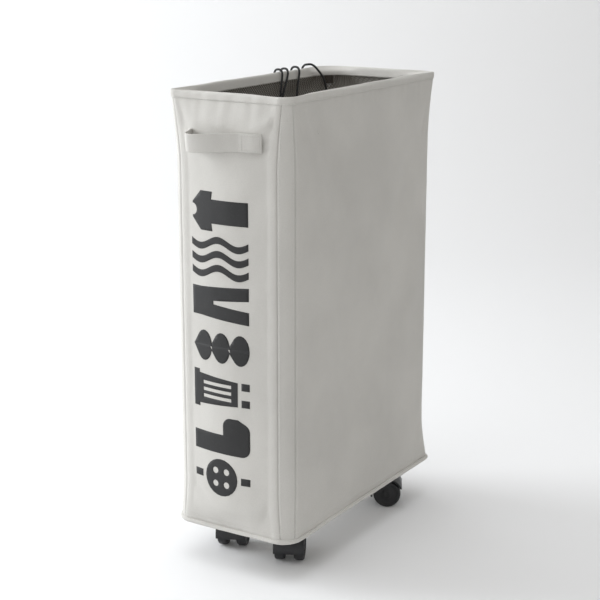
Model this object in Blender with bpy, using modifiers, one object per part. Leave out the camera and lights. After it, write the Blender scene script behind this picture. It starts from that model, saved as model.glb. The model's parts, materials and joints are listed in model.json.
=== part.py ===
"""Slim laundry hamper on four swivel casters, modelled as separate parts.

Units are metres and +Z is up. The narrow front, with the strap handle, faces -Y, and left is -X.
A moulded base board carries four casters and four corner poles. The poles hold up a steel rim wire,
and a fabric bag hangs between the wire and the board. A net collar with a drawstring is tucked
inside the rim, and its two cord tails are laid over the left edge.
"""
import math

import bmesh
import bpy
from mathutils import Matrix, Vector

# Driving dimensions of the bag
HEIGHT = 0.600
BODY_HALF = (0.086, 0.183)
BODY_CORNER = 0.030
RIM_HALF = (0.0855, 0.1820)
RIM_CORNER = 0.012
PIPING_RADIUS = 0.003
PIPING_PROUD = 0.003
BASE_Z = 0.054
CLOTH = 0.001
GAP = 0.0003

# Strap handle on the front
STRAP_ENDS = (-0.052, 0.051)
STRAP_BOW_ENDS = (-0.048, 0.022)
STRAP_BOW = 0.018
STRAP_THICKNESS = 0.0016
STRAP_Z = (0.534, 0.556)

# The box around the object is centred on the origin, from the strap's bow to the rear piping
STRAP_FRONT = BODY_HALF[1] + GAP + STRAP_BOW + STRAP_THICKNESS
CENTRE_Y = (STRAP_FRONT - BODY_HALF[1] - PIPING_PROUD) / 2

# Rim hem, net collar and drawstring channel
HEM_HEIGHT = 0.0190
HEM_INSET = 0.0075
HEM_INNER_CORNER = 0.036
WIRE_RADIUS = 0.0016
WIRE_INSET = 0.0036
WIRE_Z = HEIGHT - 0.0050
COLLAR_HALF = (0.0815, 0.1785)
COLLAR_CORNER = 0.058
COLLAR_BOTTOM_Z = 0.478
CHANNEL_Z = (0.460, 0.4775)
CHANNEL_HALF = (0.0825, 0.1795)
CHANNEL_WIDTH = 0.0072
NET_THICKNESS = 0.0008

# Corner poles in their sleeves
POLE_RADIUS = 0.0040
POLE_WALL = 0.0008
POLE_ARC_RADIUS = 0.0242
SLEEVE_HALF_ANGLE = 21.0
SLEEVE_HOLE = 0.0046
SLEEVE_TOP_Z = 0.573
POLE_TOP_Z = 0.5850

# Base
BOARD_HALF = (0.0820, 0.1790)
BOARD_CORNER = 0.0265
BOARD_THICKNESS = 0.0050
BOTTOM_CLOTH_Z = BASE_Z + 0.0018
BOARD_Z = BOTTOM_CLOTH_Z + CLOTH + GAP
PEG_RADIUS = 0.0029
PEG_HEIGHT = 0.014
FLOOR_THICKNESS = 0.0030

# Casters
CASTER_AT = (0.044, 0.118)
CASTER_TRAIL = 0.011
WHEEL_RADIUS = 0.019
WHEEL_INNER = 0.0062
WHEEL_OUTER = 0.0190
HOOD_RADIUS = 0.0228
HOOD_SHELL = 0.0022
HOOD_WEB = 0.0057
HOOD_WIDTH = 0.0198
HOOD_TOP_Z = 0.0465
AXLE_RADIUS = 0.0020
STEM_RADIUS = 0.0035
SOCKET_RADIUS = 0.0060
SOCKET_TOP_Z = 0.0735
RUNNING_CLEARANCE = 0.0001
SWIVEL_DEG = {
    "front_left": 22.0,
    "front_right": 26.0,
    "rear_left": -14.0,
    "rear_right": -62.0,
}

# Drawstring and cord lock
CORD_RADIUS = 0.0015
EXIT_Y = 0.0520
LOCK_Z = 0.4960
LOCK_RADIUS = 0.0058
LOCK_LENGTH = 0.0190
LOCK_TRAVEL = 0.0022
PLUNGER_RADIUS = 0.0040
EYELET_BARREL = 0.0046

CORNERS = {
    "front_left": (-1, -1),
    "front_right": (1, -1),
    "rear_right": (1, 1),
    "rear_left": (-1, 1),
}


# ---------------------------------------------------------------- scene and materials

for old in list(bpy.data.objects):
    bpy.data.objects.remove(old, do_unlink=True)

parts = bpy.data.collections.new("laundry_sorter_on_wheels")
cutters = bpy.data.collections.new("cutters")
bpy.context.scene.collection.children.link(parts)
bpy.context.scene.collection.children.link(cutters)

root = bpy.data.objects.new("bag_centre", None)
root.location = (0.0, CENTRE_Y, 0.0)
parts.objects.link(root)


def material(name, colour, roughness, metallic=0.0):
    made = bpy.data.materials.new(name)
    made.use_nodes = True
    shader = made.node_tree.nodes["Principled BSDF"]
    shader.inputs["Base Color"].default_value = (*colour, 1.0)
    shader.inputs["Roughness"].default_value = roughness
    shader.inputs["Metallic"].default_value = metallic
    return made


CLOTH_GREY = material("outer_cloth", (0.62, 0.62, 0.60), 0.85)
CLOTH_TRIM = material("trim_cloth", (0.66, 0.66, 0.64), 0.80)
NET_TAUPE = material("net", (0.22, 0.19, 0.16), 0.70)
CORD_BLACK = material("cord", (0.015, 0.015, 0.015), 0.75)
PLASTIC_BLACK = material("black_plastic", (0.02, 0.02, 0.022), 0.45)
BOARD_GREY = material("board_plastic", (0.16, 0.16, 0.16), 0.60)
TUBE_METAL = material("pole_aluminium", (0.72, 0.72, 0.74), 0.35, 1.0)
STEEL = material("steel", (0.55, 0.55, 0.56), 0.30, 1.0)


# ---------------------------------------------------------------- modelling helpers

def place(obj, finish, parent=root):
    obj.data.materials.clear()
    obj.data.materials.append(finish)
    parts.objects.link(obj)
    obj.parent = parent
    return obj


def mesh_object(name, mesh_builder):
    mesh = bpy.data.meshes.new(name)
    builder = bmesh.new()
    mesh_builder(builder)
    builder.to_mesh(mesh)
    builder.free()
    return bpy.data.objects.new(name, mesh)


def baked_mesh(obj):
    """The object's mesh with its modifiers applied and curve caps welded. The object is removed."""
    bpy.context.scene.collection.objects.link(obj)
    bpy.context.view_layer.update()
    graph = bpy.context.evaluated_depsgraph_get()
    mesh = bpy.data.meshes.new_from_object(obj.evaluated_get(graph))
    builder = bmesh.new()
    builder.from_mesh(mesh)
    bmesh.ops.remove_doubles(builder, verts=builder.verts, dist=0.00001)
    builder.to_mesh(mesh)
    builder.free()
    bpy.data.objects.remove(obj, do_unlink=True)
    return mesh


def baked(obj):
    """Swap an object for a plain mesh object of the same name and place."""
    name = obj.name
    matrix = obj.matrix_basis.copy()
    swapped = bpy.data.objects.new(name, baked_mesh(obj))
    swapped.name = name
    swapped.matrix_basis = matrix
    return swapped


def combine(target, others, operation):
    """Join or cut a mesh object with others, then bake the result."""
    for other in others:
        cutters.objects.link(other)
        other.hide_render = True
        other.display_type = "WIRE"
        step = target.modifiers.new(operation.lower(), "BOOLEAN")
        step.operation = operation
        step.solver = "EXACT"
        step.object = other
    result = baked(target)
    for other in others:
        bpy.data.objects.remove(other, do_unlink=True)
    return result


def smooth(obj, angle_deg=40.0):
    obj.data.shade_smooth()
    obj.data.set_sharp_from_angle(angle=math.radians(angle_deg))
    return obj


def corner_point(signs, angle_deg, half, radius, z):
    """A point on a rounded rectangle, at an angle around one of its corner arcs."""
    angle = math.radians(angle_deg)
    x = signs[0] * (half[0] - radius) + radius * math.cos(angle)
    y = signs[1] * (half[1] - radius) + radius * math.sin(angle)
    return Vector((x, y, z))


def rounded_loop(half, radius, z, steps=6):
    """A rounded rectangle, anticlockwise from the front left corner's left end."""
    loop = []
    for turn, signs in enumerate(CORNERS.values()):
        start = 180.0 + 90.0 * turn
        for step in range(steps + 1):
            loop.append(corner_point(signs, start + 90.0 * step / steps, half, radius, z))
    return loop


def loft(name, rings):
    """A closed body from loops of equal length, with the last joined back to the first."""
    def build(builder):
        rows = [[builder.verts.new(point) for point in ring] for ring in rings]
        count = len(rings[0])
        for near, far in zip(rows, rows[1:] + rows[:1]):
            for i in range(count):
                j = (i + 1) % count
                builder.faces.new((near[i], near[j], far[j], far[i]))
        bmesh.ops.recalc_face_normals(builder, faces=builder.faces)
    return mesh_object(name, build)


def round_bar(name, radius, bottom, top, segments=20):
    def build(builder):
        depth = top - bottom
        middle = Matrix.Translation((0.0, 0.0, (top + bottom) / 2))
        bmesh.ops.create_cone(builder, cap_ends=True, segments=segments, radius1=radius,
                              radius2=radius, depth=depth, matrix=middle)
    return mesh_object(name, build)


def box(name, low, high):
    def build(builder):
        bmesh.ops.create_cube(builder, size=1.0)
        for vert in builder.verts:
            for axis in range(3):
                vert.co[axis] = low[axis] if vert.co[axis] < 0 else high[axis]
    return mesh_object(name, build)


def turned(name, profile, steps=20):
    """A solid of revolution about Z. The profile is (radius, z) pairs, from top to bottom."""
    mesh = bpy.data.meshes.new(name)
    points = [(radius, 0.0, z) for radius, z in profile]
    edges = [(i, i + 1) for i in range(len(points) - 1)]
    if profile[0][0] > 0.0:
        edges.append((len(points) - 1, 0))
    mesh.from_pydata(points, edges, [])
    obj = bpy.data.objects.new(name, mesh)
    screw = obj.modifiers.new("turn", "SCREW")
    screw.steps = steps
    screw.render_steps = steps
    screw.use_merge_vertices = True
    screw.merge_threshold = 0.00001
    return obj


def flat_outline(name, loops, bottom, top):
    """A plate between two heights from one outer loop and any hole loops."""
    curve = bpy.data.curves.new(name, "CURVE")
    curve.dimensions = "2D"
    curve.fill_mode = "BOTH"
    curve.extrude = (top - bottom) / 2
    for loop in loops:
        spline = curve.splines.new("POLY")
        spline.points.add(len(loop) - 1)
        for point, source in zip(spline.points, loop):
            point.co = (source[0], source[1], 0.0, 1.0)
        spline.use_cyclic_u = True
    obj = bpy.data.objects.new(name, curve)
    obj.location.z = (top + bottom) / 2
    return obj


def wire(name, points, radius, cyclic=False, resolution=2):
    curve = bpy.data.curves.new(name, "CURVE")
    curve.dimensions = "3D"
    curve.bevel_depth = radius
    curve.bevel_resolution = resolution
    curve.use_fill_caps = not cyclic
    spline = curve.splines.new("POLY")
    spline.points.add(len(points) - 1)
    for point, source in zip(spline.points, points):
        point.co = (*source, 1.0)
    spline.use_cyclic_u = cyclic
    return bpy.data.objects.new(name, curve)


def circle(centre, radius, segments=20):
    loop = []
    for step in range(segments):
        angle = math.tau * step / segments
        loop.append((centre[0] + radius * math.cos(angle), centre[1] + radius * math.sin(angle)))
    return loop


def smooth_path(knots, spacing):
    """Points a fixed step apart along a smooth curve through the knots."""
    knots = [Vector(knot) for knot in knots]
    ends = [2 * knots[0] - knots[1]] + knots + [2 * knots[-1] - knots[-2]]
    fine = []
    for before, start, stop, after in zip(ends, ends[1:], ends[2:], ends[3:]):
        for step in range(16):
            t = step / 16
            fine.append(0.5 * (2 * start + (stop - before) * t
                               + (2 * before - 5 * start + 4 * stop - after) * t * t
                               + (3 * start - before - 3 * stop + after) * t ** 3))
    fine.append(knots[-1])
    lengths = [0.0]
    for start, stop in zip(fine, fine[1:]):
        lengths.append(lengths[-1] + (stop - start).length)
    count = max(2, round(lengths[-1] / spacing))
    path = []
    index = 0
    for step in range(count + 1):
        wanted = lengths[-1] * step / count
        while index < len(fine) - 2 and lengths[index + 1] < wanted:
            index += 1
        share = (wanted - lengths[index]) / (lengths[index + 1] - lengths[index])
        path.append(fine[index].lerp(fine[index + 1], min(share, 1.0)))
    return path


# ---------------------------------------------------------------- fabric bag

WALL_Z = (BASE_Z + 2 * PIPING_RADIUS + GAP, HEIGHT - HEM_HEIGHT - 3 * GAP)


def wall_panel(name, turn):
    """One wall with the rounded edges that it takes around the corners to the sleeve seams."""
    order = list(CORNERS.values())
    facing = -90.0 + 90.0 * turn
    seam = 45.0 - SLEEVE_HALF_ANGLE - math.degrees(GAP / BODY_CORNER) * 1.2
    stations = [(order[turn], facing - seam * (1 - step / 3)) for step in range(4)]
    stations += [(order[(turn + 1) % 4], facing + seam * step / 3) for step in range(4)]

    def build(builder):
        rows = []
        for z in WALL_Z:
            rows.append([builder.verts.new(corner_point(signs, angle, BODY_HALF, BODY_CORNER, z))
                         for signs, angle in stations])
        for low, high in zip(rows, rows[1:]):
            for i in range(len(stations) - 1):
                builder.faces.new((low[i], low[i + 1], high[i + 1], high[i]))
    panel = mesh_object(name, build)
    shell = panel.modifiers.new("cloth", "SOLIDIFY")
    shell.thickness = CLOTH
    shell.offset = -1.0
    return smooth(place(panel, CLOTH_GREY))


def sleeve_inner_radius(offset_deg):
    """Distance from the corner's centre to the sleeve's inner ply, which bulges around the pole."""
    edge = BODY_CORNER - 1.2 * CLOTH
    depth = edge - (POLE_ARC_RADIUS - SLEEVE_HOLE - 0.9 * CLOTH)
    return edge - depth * math.cos(math.radians(90.0 * offset_deg / SLEEVE_HALF_ANGLE)) ** 0.9


def corner_sleeve(name, signs, diagonal):
    """A fabric tunnel on the corner, lens-shaped in plan, with a straight bore for the pole."""
    steps = 10
    sweep = [-SLEEVE_HALF_ANGLE + 2 * SLEEVE_HALF_ANGLE * i / steps for i in range(steps + 1)]

    def outer_loop(z):
        loop = [corner_point(signs, diagonal + offset, BODY_HALF, BODY_CORNER, z)
                for offset in sweep]
        for offset in reversed(sweep[1:-1]):
            reach = sleeve_inner_radius(offset)
            arc_half = [side - BODY_CORNER + reach for side in BODY_HALF]
            loop.append(corner_point(signs, diagonal + offset, arc_half, reach, z))
        return loop

    def bore_loop(z):
        axis = Vector((*pole_axis(signs), z))
        return [axis + SLEEVE_HOLE * (point - axis).normalized() for point in outer_loop(z)]

    low = BOARD_Z + BOARD_THICKNESS + GAP
    rings = [outer_loop(low), outer_loop(SLEEVE_TOP_Z), bore_loop(SLEEVE_TOP_Z), bore_loop(low)]
    return smooth(place(loft(name, rings), CLOTH_TRIM))


def pole_axis(signs):
    reach = POLE_ARC_RADIUS * math.sqrt(0.5)
    return (signs[0] * (BODY_HALF[0] - BODY_CORNER + reach),
            signs[1] * (BODY_HALF[1] - BODY_CORNER + reach))


def rim_binding():
    """The hem folded over the rim wire: an upside-down U that is wider over the pole tops."""
    low = HEIGHT - HEM_HEIGHT
    inner_half = [half - HEM_INSET for half in RIM_HALF]
    hollow_top = HEIGHT - 1.4 * CLOTH
    rings = [
        rounded_loop(RIM_HALF, RIM_CORNER, low),
        rounded_loop(RIM_HALF, RIM_CORNER, HEIGHT - 0.0030),
        rounded_loop([half - 0.0009 for half in RIM_HALF], RIM_CORNER - 0.0009, HEIGHT - 0.0009),
        rounded_loop([half - 0.0030 for half in RIM_HALF], RIM_CORNER - 0.0030, HEIGHT),
        rounded_loop([half + 0.0026 for half in inner_half], HEM_INNER_CORNER + 0.0026, HEIGHT),
        rounded_loop(inner_half, HEM_INNER_CORNER, HEIGHT - 0.0026),
        rounded_loop(inner_half, HEM_INNER_CORNER, low),
        rounded_loop([half + CLOTH for half in inner_half], HEM_INNER_CORNER + CLOTH, low),
        rounded_loop([half + CLOTH for half in inner_half], HEM_INNER_CORNER + CLOTH, hollow_top),
        rounded_loop([half - CLOTH for half in RIM_HALF], RIM_CORNER - CLOTH, hollow_top),
        rounded_loop([half - CLOTH for half in RIM_HALF], RIM_CORNER - CLOTH, low),
    ]
    return smooth(place(loft("rim_binding", rings), CLOTH_TRIM))


def mesh_collar():
    top = HEIGHT - HEM_HEIGHT - 3 * GAP
    inner = [half - NET_THICKNESS for half in COLLAR_HALF]
    rings = [
        rounded_loop(COLLAR_HALF, COLLAR_CORNER, COLLAR_BOTTOM_Z),
        rounded_loop(COLLAR_HALF, COLLAR_CORNER, top),
        rounded_loop(inner, COLLAR_CORNER - NET_THICKNESS, top),
        rounded_loop(inner, COLLAR_CORNER - NET_THICKNESS, COLLAR_BOTTOM_Z),
    ]
    return smooth(place(loft("mesh_collar", rings), NET_TAUPE))


def collar_channel():
    """The U-shaped hem at the net's lower edge, with a hole for the eyelet in its inner ply."""
    low, high = CHANNEL_Z

    def ring(inset, z):
        half = [side - inset for side in CHANNEL_HALF]
        return rounded_loop(half, COLLAR_CORNER - inset, z)
    width = CHANNEL_WIDTH
    rings = [
        ring(0.0, high), ring(CLOTH, high), ring(CLOTH, low + CLOTH),
        ring(width - CLOTH, low + CLOTH), ring(width - CLOTH, high), ring(width, high),
        ring(width, low + 0.0015), ring(width - 0.0015, low), ring(0.0015, low),
        ring(0.0, low + 0.0015),
    ]
    channel = loft("collar_channel", rings)
    hole = round_bar("eyelet_hole", EYELET_BARREL + GAP, -0.003, 0.003)
    hole.matrix_basis = eyelet_frame()
    return smooth(place(combine(channel, [hole], "DIFFERENCE"), CLOTH_TRIM))


def strap_handle():
    """A flat strap that lies on the panel at its ends and bows out in between."""
    start, stop = STRAP_ENDS
    bow_start, bow_stop = STRAP_BOW_ENDS
    back = -(BODY_HALF[1] + GAP)
    stations = [start] + [bow_start + (bow_stop - bow_start) * i / 14 for i in range(15)] + [stop]

    def lift(x):
        share = min(max((x - bow_start) / (bow_stop - bow_start), 0.0), 1.0)
        return STRAP_BOW * math.sin(math.pi * share) ** 1.3

    def build(builder):
        rows = [[builder.verts.new((x, back - lift(x), z)) for z in STRAP_Z] for x in stations]
        for near, far in zip(rows, rows[1:]):
            builder.faces.new((near[0], far[0], far[1], near[1]))
    strap = mesh_object("front_strap", build)
    shell = strap.modifiers.new("webbing", "SOLIDIFY")
    shell.thickness = STRAP_THICKNESS
    shell.offset = 1.0
    return smooth(place(strap, CLOTH_TRIM), 60.0)


# ---------------------------------------------------------------- frame

def rim_wire():
    """The steel hoop in the hem. Its two ends meet inside the ferrule, behind the rear edge."""
    half = [side - WIRE_INSET for side in RIM_HALF]
    z = WIRE_Z
    loop = rounded_loop(half, RIM_CORNER - WIRE_INSET, z)
    start = Vector((0.0004, half[1], z))
    stop = Vector((-0.0004, half[1], z))
    quarter = len(loop) // 4
    points = [stop] + loop[3 * quarter:] + loop[:3 * quarter] + [start]
    hoop = wire("rim_wire", points, WIRE_RADIUS)
    place(hoop, STEEL)
    ferrule = turned("wire_ferrule", [
        (WIRE_RADIUS + GAP, 0.012), (WIRE_RADIUS + 0.0008, 0.012),
        (WIRE_RADIUS + 0.0008, -0.012), (WIRE_RADIUS + GAP, -0.012)])
    ferrule.rotation_euler = (0.0, math.pi / 2, 0.0)
    ferrule.location = (0.0, half[1], z)
    place(ferrule, STEEL)


def corner_pole(name, signs):
    low = BOARD_Z + BOARD_THICKNESS + GAP
    inner = POLE_RADIUS - POLE_WALL
    pole = turned(name, [(inner, POLE_TOP_Z), (POLE_RADIUS, POLE_TOP_Z),
                         (POLE_RADIUS, low), (inner, low)], steps=16)
    pole.location = (*pole_axis(signs), 0.0)
    return smooth(place(pole, TUBE_METAL))


def rim_clip(name, signs, diagonal):
    """A moulded cap on the pole with an arm whose groove snaps under the rim wire."""
    half = [side - WIRE_INSET for side in RIM_HALF]
    axis = Vector((*pole_axis(signs), 0.0))
    wire_corner = corner_point(signs, diagonal, half, RIM_CORNER - WIRE_INSET, 0.0)
    reach = wire_corner - axis
    cap_low, cap_top = SLEEVE_TOP_Z + 0.0035, WIRE_Z - 0.0004
    cap = round_bar(name, 0.0060, cap_low, cap_top)
    arm = box("arm", (0.0, -0.0045, WIRE_Z - 0.0060), (reach.length + 0.0014, 0.0045, cap_top))
    arm.matrix_basis = Matrix.Rotation(math.atan2(reach.y, reach.x), 4, "Z")
    cap = combine(cap, [arm], "UNION")
    bore = round_bar("bore", POLE_RADIUS + GAP, cap_low - 0.001, POLE_TOP_Z + GAP)
    arc = [corner_point(signs, diagonal + offset, half, RIM_CORNER - WIRE_INSET, WIRE_Z) - axis
           for offset in range(-45, 46, 15)]
    straight = 0.012
    for end, offset in ((0, -45.0), (len(arc), 45.0)):
        facing = math.radians(diagonal + offset)
        away = Vector((-signs[0] * abs(math.sin(facing)), -signs[1] * abs(math.cos(facing)), 0.0))
        arc.insert(end, arc[min(end, len(arc) - 1)] + away * straight)
    groove = baked(wire("groove", arc, WIRE_RADIUS + GAP))
    cap = combine(cap, [bore, groove], "DIFFERENCE")
    cap.location = axis
    return smooth(place(cap, PLASTIC_BLACK))


def base_board():
    """The rigid floor with a peg for each hollow pole and a hole for each caster socket."""
    holes = [circle(caster_axis(signs), SOCKET_RADIUS + GAP) for signs in CORNERS.values()]
    outline = rounded_loop(BOARD_HALF, BOARD_CORNER, 0.0)
    top = BOARD_Z + BOARD_THICKNESS
    board = baked(flat_outline("base_board", [outline] + holes, BOARD_Z, top))
    pegs = []
    for signs in CORNERS.values():
        peg = round_bar("peg", PEG_RADIUS, BOARD_Z + 0.001, top + PEG_HEIGHT, segments=16)
        peg.location = (*pole_axis(signs), 0.0)
        pegs.append(peg)
    place(combine(board, pegs, "UNION"), BOARD_GREY)


def base_cloths():
    """The bag's bottom panel below the board, and the loose covered floor that lies above it."""
    holes = [circle(caster_axis(signs), SOCKET_RADIUS + GAP) for signs in CORNERS.values()]
    outline = rounded_loop(BOARD_HALF, BOARD_CORNER, 0.0)
    bottom = flat_outline("bottom_panel", [outline] + holes, BOTTOM_CLOTH_Z,
                          BOTTOM_CLOTH_Z + CLOTH)
    place(bottom, CLOTH_GREY)
    half = [side - 0.0015 for side in BOARD_HALF]
    low = SOCKET_TOP_Z + GAP
    floor = flat_outline("floor_liner", [rounded_loop(half, 0.056, 0.0)], low,
                         low + FLOOR_THICKNESS)
    place(floor, CLOTH_GREY)


def base_piping():
    inset = PIPING_RADIUS - PIPING_PROUD
    half = [side - inset for side in BODY_HALF]
    loop = rounded_loop(half, BODY_CORNER - inset, BASE_Z + PIPING_RADIUS)
    place(wire("base_piping", loop, PIPING_RADIUS, cyclic=True), CLOTH_TRIM)


# ---------------------------------------------------------------- casters

def caster_axis(signs):
    return (signs[0] * CASTER_AT[0], signs[1] * CASTER_AT[1])


def socket_mesh():
    low = BASE_Z - 0.0002
    flange = low + 0.0015
    return turned("socket", [
        (0.0, SOCKET_TOP_Z), (0.0045, SOCKET_TOP_Z), (SOCKET_RADIUS, SOCKET_TOP_Z - 0.0015),
        (SOCKET_RADIUS, flange), (0.0125, flange - 0.0004), (0.0130, low), (0.0042, low),
        (0.0042, SOCKET_TOP_Z - 0.0022), (0.0, SOCKET_TOP_Z - 0.0022)])


def stem_mesh():
    """A steel pin with a collar above the hood and a grip ridge near its top."""
    top = SOCKET_TOP_Z - 0.0028
    collar = HOOD_TOP_Z + GAP
    return turned("stem", [
        (0.0, top), (0.0024, top), (STEM_RADIUS, top - 0.0012), (STEM_RADIUS, top - 0.0040),
        (0.0039, top - 0.0048), (0.0039, top - 0.0062), (STEM_RADIUS, top - 0.0070),
        (STEM_RADIUS, collar + 0.0016), (0.0055, collar + 0.0016), (0.0055, collar),
        (STEM_RADIUS, collar), (STEM_RADIUS, 0.0280), (0.0, 0.0280)], steps=16)


def hood_mesh():
    """The fork and fender: a web between the wheels, a curved cover over them, and a neck.

    The stem is on Z at the origin and the wheels trail towards +Y, with their axle along X."""
    axle_z = WHEEL_RADIUS

    def arc(radius, start, stop, steps):
        points = []
        for step in range(steps + 1):
            angle = math.radians(start + (stop - start) * step / steps)
            points.append((CASTER_TRAIL + radius * math.cos(angle),
                           axle_z + radius * math.sin(angle)))
        return points

    def side_plate(name, outline, half_width):
        plate = baked(flat_outline(name, [outline], -half_width, half_width))
        upright = Matrix(((0, 0, 1, 0), (1, 0, 0, 0), (0, 1, 0, 0), (0, 0, 0, 1)))
        plate.data.transform(upright)
        return plate

    closed, opened = 212.0, 22.0
    web_radius = HOOD_RADIUS - HOOD_SHELL / 2
    web_outline = arc(web_radius, closed - 2.0, opened + 2.0, 14) + arc(0.0070, -20.0, -160.0, 5)
    web = side_plate("web", web_outline, HOOD_WEB)
    cover_outline = (arc(HOOD_RADIUS, closed, opened, 14)
                     + arc(HOOD_RADIUS - HOOD_SHELL, opened, closed, 14))
    cover = side_plate("cover", cover_outline, HOOD_WIDTH)
    trim = cover.modifiers.new("round_sides", "BEVEL")
    trim.width = 0.0010
    trim.segments = 1
    trim.limit_method = "ANGLE"
    trim.angle_limit = math.radians(50)
    neck = round_bar("neck", 0.0056, 0.0330, HOOD_TOP_Z)
    hood = combine(web, [cover, neck], "UNION")
    stem_bore = round_bar("stem_bore", STEM_RADIUS + 2 * RUNNING_CLEARANCE, 0.0272, 0.0600)
    axle_bore = round_bar("axle_bore", AXLE_RADIUS + 2 * RUNNING_CLEARANCE, -0.03, 0.03)
    axle_bore.matrix_basis = (Matrix.Translation((0.0, CASTER_TRAIL, axle_z))
                              @ Matrix.Rotation(math.pi / 2, 4, "Y"))
    return combine(hood, [stem_bore, axle_bore], "DIFFERENCE")


def wheel_mesh():
    """A moulded wheel with a blind bore. Its axis is Z, and its closed face is on top."""
    bore = AXLE_RADIUS + 2 * RUNNING_CLEARANCE
    inner, outer = WHEEL_INNER, WHEEL_OUTER
    return turned("wheel", [
        (0.0, outer - 0.0004), (0.0060, outer - 0.0004), (0.0080, outer - 0.0016),
        (0.0140, outer - 0.0016), (0.0150, outer - 0.0002), (0.0172, outer - 0.0002),
        (0.0186, outer - 0.0012), (WHEEL_RADIUS, outer - 0.0028),
        (WHEEL_RADIUS, inner + 0.0015), (0.0180, inner), (bore, inner),
        (bore, outer - 0.0020), (0.0, outer - 0.0020)])


def casters():
    hood = hood_mesh().data
    wheel = baked_mesh(wheel_mesh())
    stem = baked_mesh(stem_mesh())
    socket = baked_mesh(socket_mesh())
    axle_half = WHEEL_OUTER - 0.0026
    axle = round_bar("axle", AXLE_RADIUS, -axle_half, axle_half).data
    sideways = {"left": -math.pi / 2, "right": math.pi / 2}
    for corner, signs in CORNERS.items():
        swivel = bpy.data.objects.new("swivel_" + corner, None)
        swivel.location = (*caster_axis(signs), 0.0)
        swivel.rotation_euler.z = math.radians(SWIVEL_DEG[corner])
        swivel.parent = root
        parts.objects.link(swivel)
        at = swivel.location
        copy_part("caster_socket_" + corner, socket, PLASTIC_BLACK, root, at)
        copy_part("caster_stem_" + corner, stem, STEEL, root, at)
        copy_part("caster_hood_" + corner, hood, PLASTIC_BLACK, swivel, (0.0, 0.0, 0.0))
        centre = (0.0, CASTER_TRAIL, WHEEL_RADIUS)
        copy_part("caster_axle_" + corner, axle, STEEL, swivel, centre, math.pi / 2)
        for side, turn in sideways.items():
            copy_part("wheel_" + corner + "_" + side, wheel, PLASTIC_BLACK, swivel, centre, turn)


def copy_part(name, mesh, finish, parent, location, turn_y=0.0):
    obj = bpy.data.objects.new(name, mesh)
    obj.location = location
    obj.rotation_euler.y = turn_y
    smooth(place(obj, finish, parent))


# ---------------------------------------------------------------- drawstring and cord lock

def eyelet_frame():
    """The eyelet's axis runs along X through the channel's inner ply on the left wall."""
    x = -(CHANNEL_HALF[0] - CHANNEL_WIDTH + CLOTH / 2)
    z = (CHANNEL_Z[0] + CHANNEL_Z[1]) / 2
    return Matrix.Translation((x, EXIT_Y, z)) @ Matrix.Rotation(math.pi / 2, 4, "Y")


def eyelet():
    hole = 0.0036
    face = CLOTH / 2 + GAP
    ring = turned("channel_eyelet", [
        (hole, face + 0.0008), (0.0058, face + 0.0008), (0.0062, face),
        (EYELET_BARREL, face), (EYELET_BARREL, -face), (0.0062, -face),
        (0.0058, -face - 0.0008), (hole, -face - 0.0008)])
    ring.matrix_basis = eyelet_frame()
    place(ring, STEEL)


def drawstring():
    """The length of cord inside the channel, which the channel holds all the way round."""
    inset = CLOTH + GAP + CORD_RADIUS
    half = [side - inset for side in CHANNEL_HALF]
    z = CHANNEL_Z[0] + CLOTH + GAP + CORD_RADIUS
    loop = rounded_loop(half, COLLAR_CORNER - inset, z)
    place(wire("drawstring", loop, CORD_RADIUS, cyclic=True), CORD_BLACK)


def cord_tails():
    spacing = 2.2 * 2 * CORD_RADIUS
    for name, route in (("cord_tail_a", TAIL_A), ("cord_tail_b", TAIL_B)):
        place(wire(name, smooth_path(route, spacing), CORD_RADIUS), CORD_BLACK)
        end = Vector(route[-1])
        knot = turned(name.replace("tail", "knot"), [
            (0.0, 0.0), (0.0020, -0.0006), (0.0032, -0.0024), (0.0034, -0.0044),
            (0.0026, -0.0064), (0.0012, -0.0076), (0.0, -0.0078)], steps=14)
        knot.location = end - Vector((0.0, 0.0, GAP))
        place(knot, CORD_BLACK)


# Tail A makes the short bight on the outside of the rim, and tail B the long one around it
TAIL_A = [
    (-0.0772, 0.0537, 0.4687), (-0.0735, 0.0538, 0.4688), (-0.0690, 0.0539, 0.4700),
    (-0.0662, 0.0539, 0.4740), (-0.0655, 0.0539, 0.4810), (-0.0655, 0.0539, 0.4960),
    (-0.0656, 0.0539, 0.5100), (-0.0690, 0.0539, 0.5250), (-0.0725, 0.0539, 0.5420),
    (-0.0750, 0.0545, 0.5560), (-0.0755, 0.0565, 0.5680), (-0.0756, 0.0610, 0.5790),
    (-0.0753, 0.0660, 0.5890), (-0.0754, 0.0688, 0.5984), (-0.0785, 0.0700, 0.6031),
    (-0.0850, 0.0703, 0.6031), (-0.0882, 0.0705, 0.5984), (-0.0888, 0.0710, 0.5880),
    (-0.0889, 0.0722, 0.5700), (-0.0889, 0.0735, 0.5520), (-0.0889, 0.0765, 0.5410),
    (-0.0889, 0.0838, 0.5360), (-0.0889, 0.0912, 0.5410), (-0.0889, 0.0945, 0.5520),
    (-0.0889, 0.0957, 0.5700), (-0.0888, 0.0963, 0.5880), (-0.0882, 0.0968, 0.5984),
    (-0.0850, 0.0971, 0.6031), (-0.0785, 0.0975, 0.6031), (-0.0754, 0.0972, 0.5984),
    (-0.0753, 0.0958, 0.5890), (-0.0756, 0.0935, 0.5790), (-0.0757, 0.0915, 0.5640),
    (-0.0757, 0.0902, 0.5400), (-0.0753, 0.0895, 0.5180), (-0.0748, 0.0893, 0.5000),
]

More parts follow.
